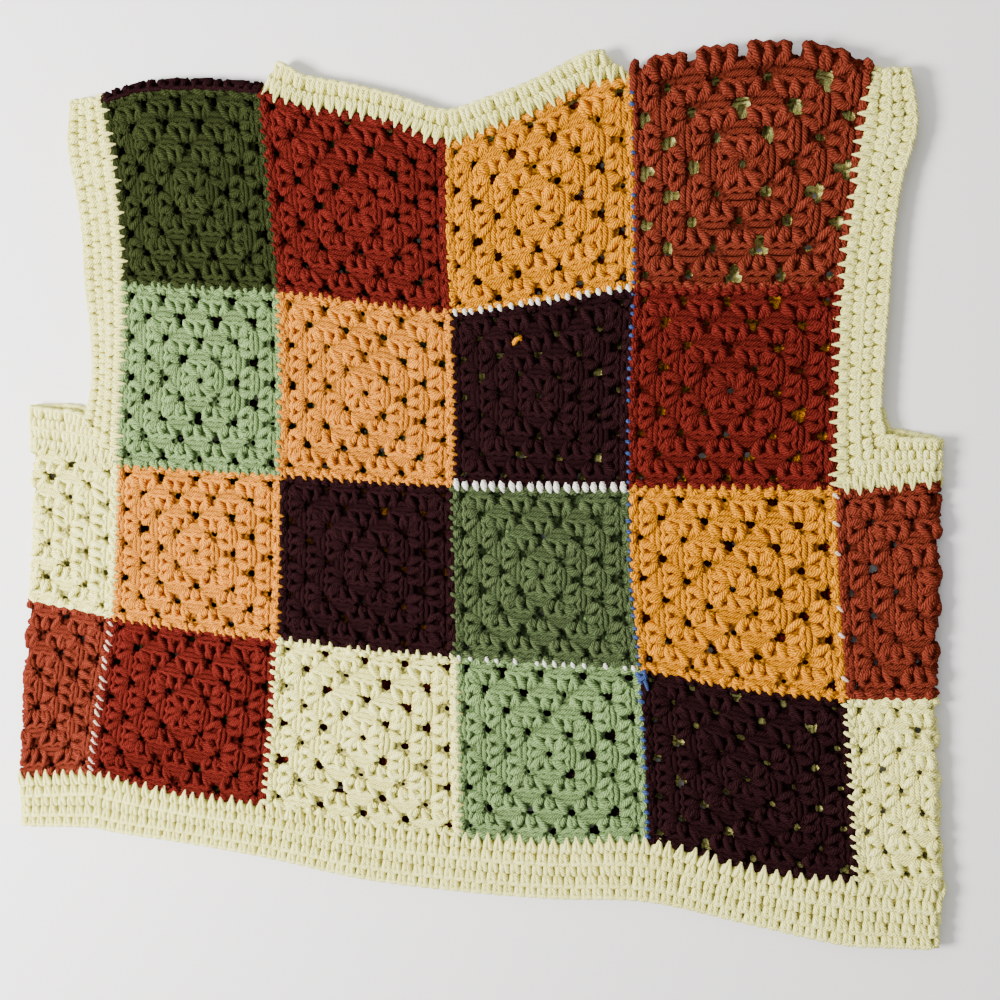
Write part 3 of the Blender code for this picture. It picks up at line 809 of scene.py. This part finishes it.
def puff(scallop, a, b, across):
    """How far the clusters at the upper edge of a square stand out over the fold, in millimetres."""
    if not scallop or b < SCALLOP_START:
        return 0.0
    wave = abs(math.cos(math.pi * a / (CLUSTER_STEP * EDGE_ROUND_SQUEEZE)))
    upper = min(max(across.z + 0.5, 0.0) / 0.5, 1.0)
    return scallop * upper * (0.65 + 0.35 * wave) * min((b - SCALLOP_START) / 0.14, 1.0)


def open_gap(mesh, vert, size, rng):
    """Opens a rounded, uneven hole in the heart of a square, round one of its grid corners."""
    centre = vert.co.copy()
    hole = bmesh.ops.dissolve_faces(mesh, faces=list(vert.link_faces), use_verts=False)["region"]
    bmesh.ops.inset_individual(mesh, faces=hole, thickness=0.01)
    size *= rng.choice((0.45, 0.8, 0.8, 1.0, 1.25))
    wide = size * rng.uniform(0.75, 1.2)
    high = size * rng.uniform(0.80, 1.3)
    for corner in hole[0].verts:
        way = (corner.co - centre).normalized() * rng.uniform(0.85, 1.15)
        corner.co = centre + Vector((way.x * wide, way.y * high, 0.0))
    bmesh.ops.delete(mesh, geom=hole, context="FACES")


def cloth_square(name, place, lean, fold_cuts, opening, scallop, rng, material):
    """Thin heart of a square, open at the middle and at the gaps between its clusters."""
    mesh = bmesh.new()
    bmesh.ops.create_grid(mesh, x_segments=HEART_CELLS, y_segments=HEART_CELLS, size=1.0)
    for size_round, size in GAP_SIZES.items():
        line = ROUND_LINES[size_round] if size_round else 0.0
        opened = []
        for vert in mesh.verts:
            a, b = abs(vert.co.x), abs(vert.co.y)
            if abs(max(a, b) - line) > 0.02:
                continue
            steps = (min(a, b) - (size_round % 2) * CLUSTER_STEP / 2.0) / CLUSTER_STEP
            if size_round == 0 or abs(steps - round(steps)) < 0.05:
                opened.append(vert)
        for vert in opened:
            open_gap(mesh, vert, size * opening, rng)
    for axis, value in fold_cuts:
        normal = Vector((1.0, 0.0, 0.0)) if axis == 0 else Vector((0.0, 1.0, 0.0))
        bmesh.ops.bisect_plane(
            mesh, geom=mesh.verts[:] + mesh.edges[:] + mesh.faces[:], dist=0.004,
            plane_co=normal * value, plane_no=normal,
        )
    bmesh.ops.dissolve_degenerate(mesh, dist=0.002, edges=mesh.edges[:])
    flat = mesh.verts[:] + mesh.edges[:] + mesh.faces[:]
    grown = bmesh.ops.extrude_face_region(mesh, geom=flat, use_keep_orig=True)["geom"]
    lower = [part for part in grown if isinstance(part, bmesh.types.BMVert)]
    bmesh.ops.translate(mesh, verts=lower, vec=(0.0, 0.0, -1.0))
    for vert in mesh.verts:
        a, b = lean(vert.co.x, vert.co.y)
        middle, across = place(a * HEART_SHARE, b * HEART_SHARE)
        off = HEART_THICK * vert.co.z - HEART_DROP + puff(scallop, a, b, across)
        vert.co = (middle + across * off) * MM
    return finish_cloth(name, mesh, material)


# A slanted way on which no two corners of a piece lie level
ORDER_WAY = Vector((1.0, 0.618, 0.137))


def finish_cloth(name, mesh, material):
    """Turns a finished bmesh into a smooth piece whose faces point outwards."""
    bmesh.ops.recalc_face_normals(mesh, faces=mesh.faces[:])
    if mesh.calc_volume(signed=True) < 0.0:
        bmesh.ops.reverse_faces(mesh, faces=mesh.faces[:])
    # The operators leave the order of the corners and faces open, so it is set here
    mesh.verts.sort(key=lambda vert: vert.co.dot(ORDER_WAY))
    mesh.faces.sort(key=lambda face: face.calc_center_median().dot(ORDER_WAY))
    data = bpy.data.meshes.new(name)
    mesh.to_mesh(data)
    mesh.free()
    data.materials.append(material)
    data.shade_smooth()
    return add_object(name, data)


def cloth_band(name, stations, material):
    """Thin heart of an edge band: a strip of cloth closed into a ring."""
    count = len(stations) - 1
    mesh = bmesh.new()
    bmesh.ops.create_grid(mesh, x_segments=count, y_segments=4, size=0.5)
    for vert in mesh.verts:
        k = round((vert.co.x + 0.5) * count)
        w = vert.co.y + 0.5
        inner, outer, across = stations[k]
        vert.co = (inner.lerp(outer, lerp(0.02, 0.97, w)) - across.normalized() * HEART_DROP) * MM
    bmesh.ops.remove_doubles(mesh, verts=mesh.verts[:], dist=1e-6)
    bmesh.ops.recalc_face_normals(mesh, faces=mesh.faces[:])
    bmesh.ops.solidify(mesh, geom=mesh.faces[:], thickness=HEART_THICK * MM)
    return finish_cloth(name, mesh, material)


# A cluster's stitch from its foot to its top: height above the middle of the cloth in millimetres, and the painted
# shade that darkens its colour, at even steps; then the shares of its length at which it is drawn
POST_HEIGHTS = (-0.5, 0.20, 0.45, 0.35, 0.0)
POST_PAINTED_SHADES = (0.70, 0.10, 0.0, 0.0, 0.20)
POST_LINES = (0.0, 0.24, 0.5, 0.76, 1.0)
BACK_POST_LINES = (0.0, 0.33, 0.72, 1.0)
TWIST = 0.95 * math.pi

# Shares of its length at which a chain's loop, a stitch of a band and a sewn stitch are drawn, and the thickness
# of a pointed stitch and a sewn one there
LOOP_LINES = (0.0, 0.33, 0.67, 1.0)
BAND_LINES = (0.0, 0.35, 0.7, 1.0)
POINTED_RADII = (0.56, 0.52, 0.40, 0.18)
SEWN_LINES = (0.0, 0.3, 0.7, 1.0)
SEWN_RADII = (0.70, 0.92, 0.72, 0.28)

# A chain over a cluster: half its length in the inner rounds and in the edge round, in half sides, and the two
# plainer loops behind it: how far out, share of its length, height
CHAIN_HALF = 0.168
EDGE_CHAIN_HALF = 0.185
BACK_LOOPS = ((0.026, 0.76, 0.10), (0.084, 0.50, -0.10))

# The way across the cloth has this upward part or more where a band is worked in full
FINE_UP = -0.2


def square_yarn(settings, place, lean, rng, fine, opening, scallop):
    """All clusters of one granny square: fans of three twisted stitches with a looped chain on top."""
    strands = Strands()
    relief = settings.relief * (1.0 if fine else BACK_RELIEF)
    thick = settings.yarn_radius / MM * (1.0 if fine else BACK_THICK)
    lines = POST_LINES if fine else BACK_POST_LINES

    def put(lateral, radial, turn, off):
        a, b = lateral, radial
        for _ in range(turn):
            a, b = b, -a
        a, b = lean(a, b)
        middle, across = place(a, b)
        return middle + across * (off + puff(scallop, a, b, across))

    for n in range(1, 6):
        foot = ROUND_LINES[n - 1] + (0.040 * opening ** 1.5 if n > 1 else 0.020)
        top = ROUND_LINES[n]
        squeeze = EDGE_ROUND_SQUEEZE if n == 5 else 1.0
        for turn in range(4):
            for j in range(n):
                centre = (j - (n - 1) / 2.0) * CLUSTER_STEP
                drift = rng.uniform(-0.014, 0.014)
                cluster_tone = rng.uniform(-0.5, 0.5)
                reach = rng.uniform(-0.012, 0.012)
                wide = rng.uniform(0.92, 1.07)
                low = foot + (rng.uniform(-0.006, 0.020) if n > 1 else 0.0)
                for k in (-1, 0, 1):
                    post_tone = cluster_tone + rng.uniform(-0.5, 0.5)
                    phase = rng.uniform(-0.6, 0.6)
                    bow = k * 0.016 + rng.uniform(-0.006, 0.006)
                    for way in (-1.0, 1.0):
                        path, radii, painted_shades = [], [], []
                        for q in lines:
                            spread = lerp(FOOT_SPREAD * (0.30 if n == 1 else 1.0), TOP_SPREAD * wide, q ** 0.8)
                            angle = phase + TWIST * (q - 0.15)
                            apart = lerp(0.90, 1.68, math.sin(math.pi * min(q, 0.93)) ** 0.55)
                            lateral = lerp(centre, centre * squeeze, q) + drift * q + k * spread
                            lateral += bow * math.sin(math.pi * q)
                            lateral += way * apart * math.cos(angle) / NOMINAL_HALF
                            radial = lerp(low, top - 0.020 + reach * (0.0 if n == 5 else 1.0), q)
                            off = relief * smooth_table(POST_HEIGHTS, q * 4.0)
                            off += relief * way * 0.70 * math.sin(angle)
                            path.append(put(lateral, radial, turn, off))
                            radii.append(thick * lerp(0.90, 1.10, math.sin(math.pi * q)))
                            painted_shades.append(smooth_table(POST_PAINTED_SHADES, q * 4.0))
                        strands.add(path, radii, post_tone + way * 0.25, painted_shades)
                add_chain(strands, put, rng, n, turn, centre * squeeze + drift, top, thick, relief, cluster_tone, fine)
    return strands


def add_chain(strands, put, rng, n, turn, centre, top, thick, relief, tone, fine):
    """The looped chain along the top of a cluster: three small arches and the plainer loops behind them."""
    half = CHAIN_HALF if n < 5 else EDGE_CHAIN_HALF
    count = 7 if fine else 4
    path = []
    for i in range(count):
        q = i / (count - 1.0)
        arch = abs(math.sin(3.0 * math.pi * q)) if fine else 0.6
        lateral = centre + half * (2.0 * q - 1.0)
        radial = top - 0.030 + 0.026 * arch
        off = relief * (0.55 + 0.30 * arch - 0.7 * (2.0 * q - 1.0) ** 4)
        path.append(put(lateral, radial, turn, off))
    radii = [thick * 0.80] * count
    strands.add(path, radii, tone + rng.uniform(-0.3, 0.6), [0.5] + [0.0] * (count - 2) + [0.5])
    if n == 5:
        return
    for out, share, height in BACK_LOOPS:
        path = []
        for q in LOOP_LINES:
            lateral = centre + half * share * (2.0 * q - 1.0)
            bulge = 1.0 - (2.0 * q - 1.0) ** 2
            path.append(put(lateral, top + out + 0.010 * bulge, turn, relief * (height + 0.40 * bulge)))
        strands.add(path, [thick * 0.92] * 4, tone - 0.3, [0.6, 0.2, 0.2, 0.6])


def band_yarn(settings, stations, width, rng, teeth, bold):
    """Rows of close stitches round an edge band, and the pointed stitches that bite into the squares."""
    front = Strands()
    back = Strands()
    thick = settings.yarn_radius / MM
    rows = max(2, round(width * MM / settings.band_row))
    high = width / rows

    for row in range(rows):
        rail = Rail(stations, (row + 0.5) / rows)
        count = round(rail.length * MM / settings.band_pitch)
        step = rail.length / count
        shift = rng.uniform(0.0, 1.0)
        ridge = row % 2 == 1 or row == rows - 1
        for k in range(count):
            s = (k + shift + rng.uniform(-0.07, 0.07)) * step
            tone = rng.uniform(-1.0, 1.0)
            _, across = rail.place(s, 0.0, 0.0)
            local = rail.width(s) / rows
            fine = across.z > FINE_UP
            strands = front if fine else back
            rise = settings.relief * (1.0 if fine else BACK_BAND_RELIEF)
            bow = rng.uniform(-0.3, 0.3)
            for way in (-1.0, 1.0):
                path, radii = [], []
                for q in BAND_LINES:
                    along = s + way * lerp(0.55, step * 0.27, q ** 0.7) + bow * q
                    out = local * lerp(-0.52, 0.44, q)
                    off = rise * (-0.7 + 1.7 * math.sin(math.pi * min(q * 0.72 + 0.06, 1.0)))
                    path.append(rail.place(along, out, off)[0])
                    radii.append(thick * lerp(0.74, 0.98, math.sin(math.pi * min(q * 0.85, 1.0))))
                strands.add(path, radii, tone + way * 0.2, (0.85, 0.1, 0.0, 0.1))
            if ridge:
                path = []
                for q in LOOP_LINES:
                    bulge = math.sin(math.pi * q)
                    along = s + step * 0.55 * (2.0 * q - 1.0)
                    path.append(rail.place(along, local * (0.36 + 0.10 * bulge), rise * (0.35 + 0.85 * bulge))[0])
                strands.add(path, [thick * 0.82] * 4, tone + 0.3, (0.4, 0.0, 0.0, 0.4))
    rail = Rail(stations, 0.0)
    count = round(rail.length * MM / settings.band_pitch)
    step = rail.length / count
    for k in range(count):
        s = (k + 0.5 + rng.uniform(-0.08, 0.08)) * step
        _, across = rail.place(s, 0.0, 0.0)
        strands = front if across.z > FINE_UP else back
        length = teeth * rng.uniform(0.75, 1.2)
        aside = rng.uniform(-0.9, 0.9)
        tone = rng.uniform(-0.2, 0.9)
        for way in (-1.0, 1.0):
            path = []
            for q in BAND_LINES:
                along = s + way * bold * (1.45 * (1.0 - q) + 0.12) + aside * q
                off = 0.7 + settings.relief * (2.3 * math.sin(math.pi * (0.12 + 0.60 * q)) - 0.5 * q ** 4)
                path.append(rail.place(along, lerp(0.70 * high, -length, q), off)[0])
            radii = [thick * bold * share for share in POINTED_RADII]
            strands.add(path, radii, tone, (0.2, 0.0, 0.0, 0.0))
    return front, back


# Sewn seams of the front: kind, line, cell, yarn, pitch, reach to each side, slant, thickness, sureness
FRONT_SEAMS = (
    ("column", 1, 1, "brick", 6.5, 2.0, 1.0, 0.6, 0.7),
    ("column", 2, 1, "brick", 6.5, 2.0, 1.0, 0.6, 0.6),
    ("column", 3, 1, "blue", 6.0, 1.6, 0.8, 0.7, 0.8),
    ("column", 1, 2, "peach", 6.2, 2.8, 0.8, 0.8, 0.9),
    ("column", 2, 2, "peach", 6.2, 3.0, 0.8, 0.8, 0.9),
    ("column", 3, 2, "blue", 6.0, 1.6, 0.8, 0.7, 0.8),
    ("column", 1, 3, "peach", 6.2, 3.0, 0.8, 0.8, 0.9),
    ("column", 2, 3, "green", 6.5, 2.4, 0.8, 0.8, 0.8),
    ("column", 3, 3, "blue", 6.0, 1.7, 0.8, 0.75, 0.9),
    ("column", 1, 4, "cream", 6.4, 3.4, 0.6, 0.9, 0.95),
    ("column", 2, 4, "cream", 6.4, 3.2, 0.6, 0.9, 0.95),
    ("column", 3, 4, "blue", 6.0, 2.0, 0.8, 0.8, 0.9),
    ("row", 1, 1, "mint", 6.4, 2.2, 0.8, 0.8, 0.9),
    ("row", 1, 2, "peach", 6.4, 2.4, 0.8, 0.8, 0.9),
    ("row", 1, 3, "white", 6.1, 2.3, 0.8, 0.85, 0.85),
    ("row", 1, 4, "brick", 6.4, 2.2, 0.8, 0.8, 0.8),
    ("row", 2, 1, "mint", 6.4, 2.4, 0.8, 0.8, 0.9),
    ("row", 2, 2, "peach", 6.4, 2.6, 0.8, 0.8, 0.9),
    ("row", 2, 3, "white", 6.1, 3.3, 0.7, 1.15, 1.0),
    ("row", 2, 4, "mustard", 6.4, 2.4, 0.8, 0.8, 0.9),
    ("row", 3, 1, "peach", 6.4, 2.4, 0.8, 0.8, 0.9),
    ("row", 3, 2, "cream", 6.4, 2.8, 0.8, 0.8, 0.9),
    ("row", 3, 3, "white", 6.1, 1.9, 0.8, 0.75, 0.8),
    ("row", 3, 4, "mustard", 6.4, 2.4, 0.8, 0.8, 0.9),
    ("column", 0, 3, "cream", 6.4, 2.8, 0.8, 0.8, 0.95),
    ("column", 0, 4, "rose", 6.6, 2.8, 2.4, 0.62, 1.0),
    ("column", 4, 3, "rose", 7.5, 2.4, 1.6, 0.6, 0.5),
    ("column", 4, 4, "cream", 6.4, 3.0, 1.0, 0.8, 0.95),
)


def whip_stitches(settings, strands_of, rng):
    """Small slanted stitches over the front's seams between squares, one run for each seam."""
    thick = settings.yarn_radius / MM
    for kind, line, cell, yarn, pitch, reach, slant, width, sureness in FRONT_SEAMS:
        strands = strands_of.setdefault(yarn, Strands())
        count = round(2.0 * NOMINAL_HALF / pitch)
        for k in range(count):
            t = (k + 0.5 + rng.uniform(-0.18, 0.18)) / count
            if rng.random() > sureness:
                continue
            tone = rng.uniform(-0.3, 0.9)
            long = reach * rng.uniform(0.8, 1.15)
            path = []
            for q in SEWN_LINES:
                over = long * (2.0 * q - 1.0) / (2.0 * NOMINAL_HALF)
                beside = slant * (2.0 * q - 1.0) / (2.0 * NOMINAL_HALF)
                if kind == "column":
                    u, v = line + over, cell - 1 + t + beside
                else:
                    u, v = cell - 1 + t + beside, line + over
                if kind == "column" and line in (0, COLUMNS):
                    u_in = min(max(u, 0.0), float(COLUMNS))
                    x = body_x(u_in, v) + (u - u_in) * 2.0 * NOMINAL_HALF
                    y = body_y(u_in, v, FRONT)
                else:
                    y = body_y(u, v, FRONT)
                    x = plan_x(u, v, y)
                off = settings.relief * ((0.5 if yarn == "blue" else 1.0) + 1.9 * math.sin(math.pi * q))
                path.append(at(x, y, layer_z(FRONT, SQUARE_THICK, u, v) + off))
            strands.add(path, [thick * width * share for share in SEWN_RADII], tone, (0.3, 0.0, 0.0, 0.3))


# Loose ends of yarn on the front: yarn, thickness, then u, v and height of each point
YARN_ENDS = (
    ("mustard", 0.75, ((2.355, 1.205, 1.0), (2.375, 1.185, 3.4), (2.395, 1.175, 3.2), (2.400, 1.200, 0.8))),
    (
        "blue", 0.80,
        ((2.985, 3.020, 1.5), (3.000, 3.045, 4.2), (3.030, 3.035, 4.6), (3.025, 3.000, 4.0), (3.005, 3.015, 2.5)),
    ),
    ("blue", 0.60, ((3.010, 3.030, 2.5), (3.030, 3.070, 3.6), (3.035, 3.110, 2.6))),
)


def loose_ends(settings, strands_of):
    """The few ends and knots of yarn left standing on the front."""
    thick = settings.yarn_radius / MM
    for yarn, width, places in YARN_ENDS:
        path = []
        for u, v, height in places:
            y = body_y(u, v, FRONT)
            path.append(at(plan_x(u, v, y), y, layer_z(FRONT, SQUARE_THICK, u, v) + height))
        radii = [thick * width] * len(path)
        radii[-1] *= 0.6
        strands_of.setdefault(yarn, Strands()).add(path, radii, 0.4, [0.1] * len(path))


# The record's slot named for each yarn; there is none for the blue thread
SLOT_OF = {yarn: "yarn_" + yarn for yarn in YARN_COLOURS}
SLOT_OF.update(white="yarn_cream", rose="yarn_cream", blue=None)


def settle(made, nodes, slot):
    """Puts a finished piece on the body, in the place of its panels. The slot is not used."""
    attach(made, "root")
    if nodes:
        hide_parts(*nodes)
    return made


def make_square(settings, name, place, yarn, opening, seed, cuts):
    """One crocheted square: its open heart of cloth and the yarn worked over it. A back square gives no opening."""
    rng = random.Random(seed)
    fine = opening is not None
    lean = worked_lean(seed, FRONT if fine else BACK)
    opening = opening if fine else BACK_OPENING
    scallop = SCALLOPS.get(name, 0.0)
    # The heart takes painted shade, deeper on the back than on the front
    core = core_material(settings, yarn, FRONT_SHADE if fine else BACK_SHADE)
    heart = settle(
        cloth_square(name + "_cloth", place, lean, cuts, opening, scallop, rng, core), [name], SLOT_OF[yarn],
    )
    strands = square_yarn(settings, place, lean, rng, fine, opening, scallop)
    sides = FRONT_SIDES if fine else BACK_SIDES
    wool = make_yarn(name + "_clusters", strands, sides, yarn_material(settings, yarn))
    settle(wool, [name], SLOT_OF[yarn])


class VestSettings(bpy.types.PropertyGroup):
    """Sizes and colours of the vest that a user may change."""

    yarn_radius: bpy.props.FloatProperty(
        name="Yarn radius", description="Radius of one strand of yarn", default=0.00222, unit="LENGTH",
    )
    relief: bpy.props.FloatProperty(
        name="Relief", description="Height of the stitches, 1 is as worked", default=0.85, subtype="FACTOR",
    )
    ply_pitch: bpy.props.FloatProperty(
        name="Ply pitch", description="Length of one twist of the plies", default=0.0018, unit="LENGTH",
    )
    band_pitch: bpy.props.FloatProperty(
        name="Band stitch", description="Width of one stitch of the bands", default=0.0072, unit="LENGTH",
    )
    band_row: bpy.props.FloatProperty(
        name="Band row", description="Height of one row of the bands", default=0.0068, unit="LENGTH",
    )
    floor_colour: bpy.props.FloatVectorProperty(
        name="Floor", description="Colour of the surface under the vest", default=(0.80, 0.79, 0.78),
        subtype="COLOR", size=3,
    )
    light_power: bpy.props.FloatProperty(
        name="Key light", description="Power of the large soft light", default=60.0, unit="POWER",
    )


for _yarn, _colour in YARN_COLOURS.items():
    VestSettings.__annotations__["colour_" + _yarn] = bpy.props.FloatVectorProperty(
        name=_yarn.capitalize(), description=f"Colour of the {_yarn} yarn", default=_colour, subtype="COLOR", size=3,
    )


class VEST_OT_front_squares(bpy.types.Operator):
    """Crochet the sixteen squares of the front"""

    bl_idname = "vest.front_squares"
    bl_label = "Front squares"

    def execute(self, context):
        make_layer(context.scene.vest, FRONT, "front", FRONT_YARNS)
        return {"FINISHED"}


class VEST_OT_back_squares(bpy.types.Operator):
    """Crochet the sixteen squares of the back"""

    bl_idname = "vest.back_squares"
    bl_label = "Back squares"

    def execute(self, context):
        make_layer(context.scene.vest, BACK, "back", BACK_YARNS)
        return {"FINISHED"}


def make_layer(settings, side, word, yarns):
    for row in range(1, ROWS + 1):
        for column in range(1, COLUMNS + 1):
            on_shoulder = row == 1 and column in (1, COLUMNS)
            turns = on_shoulder and (side == BACK) == (column == 1)
            place = shoulder_square(side, column) if on_shoulder else flat_square(side, row, column)
            cuts = [(1, b) for b in SHOULDER_CUTS] if turns else []
            make_square(
                settings, f"{word}_r{row}c{column}", place, yarns[row - 1][column - 1],
                FRONT_OPENNESS[row - 1][column - 1] if side == FRONT else None,
                row * 10 + column + (100 if side == BACK else 0), cuts,
            )


class VEST_OT_side_squares(bpy.types.Operator):
    """Crochet the four squares that fold round the side edges"""

    bl_idname = "vest.side_squares"
    bl_label = "Side squares"

    def execute(self, context):
        settings = context.scene.vest
        cuts = [(0, a) for a in SIDE_CUTS]
        for (hand, row), yarn in SIDE_YARNS.items():
            seed = 200 + row + (10 if hand == "left" else 0)
            make_square(
                settings, f"side_{hand}_r{row}", side_square(hand, row), yarn, SIDE_OPENING, seed, cuts,
            )
        return {"FINISHED"}


BANDS = (
    # node, stations, length and thickness of the long stitches, seed
    ("hem_band", hem_stations, 4.4, 1.20, 301),
    ("armhole_band_left", lambda: armhole_stations("left"), 3.9, 0.90, 302),
    ("armhole_band_right", lambda: armhole_stations("right"), 3.9, 0.90, 303),
    ("neck_band", neck_stations, 3.6, 1.05, 304),
)


class VEST_OT_bands(bpy.types.Operator):
    """Work the bands round the hem, the armholes and the neck"""

    bl_idname = "vest.bands"
    bl_label = "Edge bands"

    def execute(self, context):
        settings = context.scene.vest
        for name, stations, teeth, bold, seed in BANDS:
            closed = stations()
            closed.append(closed[0])
            middle = Rail(closed, 0.5)
            widths = [middle.width(middle.length * k / WIDTH_SAMPLES) for k in range(WIDTH_SAMPLES)]
            width = sum(widths) / WIDTH_SAMPLES
            # The band's heart is the cream yarn in painted shade
            heart = cloth_band(name + "_cloth", closed, core_material(settings, "cream", BAND_SHADE))
            settle(heart, [name], "yarn_cream_band")
            front, back = band_yarn(settings, closed, width, random.Random(seed), teeth, bold)
            wool = yarn_material(settings, "cream")
            upper = settle(make_yarn(name + "_stitches", front, FRONT_SIDES, wool), [name], "yarn_cream_band")
            under = make_yarn(name + "_stitches_under", back, BACK_SIDES, wool)
            lower = settle(under, [name], "yarn_cream_band")
        return {"FINISHED"}


class VEST_OT_seams(bpy.types.Operator):
    """Sew the squares together with small slanted stitches"""

    bl_idname = "vest.seams"
    bl_label = "Sewn seams"

    def execute(self, context):
        settings = context.scene.vest
        strands_of = {}
        whip_stitches(settings, strands_of, random.Random(401))
        loose_ends(settings, strands_of)
        for yarn, strands in strands_of.items():
            sewn = make_yarn("seam_stitches_" + yarn, strands, FRONT_SIDES, yarn_material(settings, yarn))
            settle(sewn, [], SLOT_OF[yarn])
        return {"FINISHED"}


# Camera: place over the vest in millimetres, then the ways right and up, and the lens
CAMERA_PLACE = (174.95, 78.7, 586.7)
CAMERA_RIGHT = (0.9742, 0.0151, -0.2252)
CAMERA_UP = (-0.0446, 0.9909, -0.1268)
CAMERA_LENS = 35.28

# Soft lights: name, place, size, share of the key light's power, colour
LIGHTS = (
    ("window", (-0.93, -0.12, 0.88), 0.5, 1.0, (1.0, 0.985, 0.96)),
    ("ceiling", (-0.7, 1.1, 1.3), 1.8, 0.36, (1.0, 1.0, 1.0)),
)
ROOM_LIGHT = 0.60
FLOOR_HALF = 6.0


class VEST_OT_stage(bpy.types.Operator):
    """Set the pale floor, the soft light and the camera"""

    bl_idname = "vest.stage"
    bl_label = "Floor, light and camera"

    def execute(self, context):
        settings = context.scene.vest
        mesh = bmesh.new()
        bmesh.ops.create_grid(mesh, x_segments=1, y_segments=1, size=FLOOR_HALF)
        data = bpy.data.meshes.new("floor")
        mesh.to_mesh(data)
        mesh.free()
        material = bpy.data.materials.new("pale_floor")
        material.use_nodes = True
        shader = material.node_tree.nodes["Principled BSDF"]
        shader.inputs["Base Color"].default_value = (*settings.floor_colour, 1.0)
        shader.inputs["Roughness"].default_value = 0.8
        data.materials.append(material)
        add_object("floor", data)

        world = bpy.data.worlds.new("soft_room")
        world.use_nodes = True
        room = world.node_tree.nodes["Background"]
        room.inputs["Color"].default_value = (1.0, 1.0, 1.0, 1.0)
        room.inputs["Strength"].default_value = ROOM_LIGHT
        context.scene.world = world

        for name, place, size, share, colour in LIGHTS:
            lamp = bpy.data.lights.new(name, "AREA")
            lamp.shape = "DISK"
            lamp.size = size
            lamp.energy = settings.light_power * share
            lamp.color = colour
            light = add_object(name, lamp)
            light.location = place
            light.rotation_mode = "QUATERNION"
            light.rotation_quaternion = (-Vector(place)).to_track_quat("-Z", "Y")

        lens = bpy.data.cameras.new("photo")
        lens.lens = CAMERA_LENS
        lens.sensor_width = 36.0
        lens.clip_start = 0.01
        camera = add_object("photo", lens)
        right = Vector(CAMERA_RIGHT).normalized()
        back = right.cross(Vector(CAMERA_UP)).normalized()
        camera.rotation_mode = "QUATERNION"
        camera.rotation_quaternion = Matrix((right, back.cross(right), back)).transposed().to_quaternion()
        camera.location = Vector(CAMERA_PLACE) * MM
        context.scene.camera = camera
        return {"FINISHED"}


class VEST_PT_panel(bpy.types.Panel):
    """Lists the steps that make the vest"""

    bl_idname = "VEST_PT_panel"
    bl_label = "Crochet vest"
    bl_space_type = "VIEW_3D"
    bl_region_type = "UI"
    bl_category = "Vest"

    def draw(self, context):
        settings = context.scene.vest
        for key in VestSettings.__annotations__:
            self.layout.prop(settings, key)
        for step in STEPS:
            self.layout.operator(step.bl_idname)


STEPS = (
    VEST_OT_back_squares,
    VEST_OT_front_squares,
    VEST_OT_side_squares,
    VEST_OT_bands,
    VEST_OT_seams,
    VEST_OT_stage,
)


def register():
    for kind in (VestSettings, *STEPS, VEST_PT_panel):
        bpy.utils.register_class(kind)
    bpy.types.Scene.vest = bpy.props.PointerProperty(type=VestSettings)


def unregister():
    del bpy.types.Scene.vest
    for kind in (VEST_PT_panel, *reversed(STEPS), VestSettings):
        bpy.utils.unregister_class(kind)


def main():
    register()
    bpy.ops.vest.back_squares()
    bpy.ops.vest.front_squares()
    bpy.ops.vest.side_squares()
    bpy.ops.vest.bands()
    bpy.ops.vest.seams()
    bpy.ops.vest.stage()


if __name__ == "__main__":
    main()
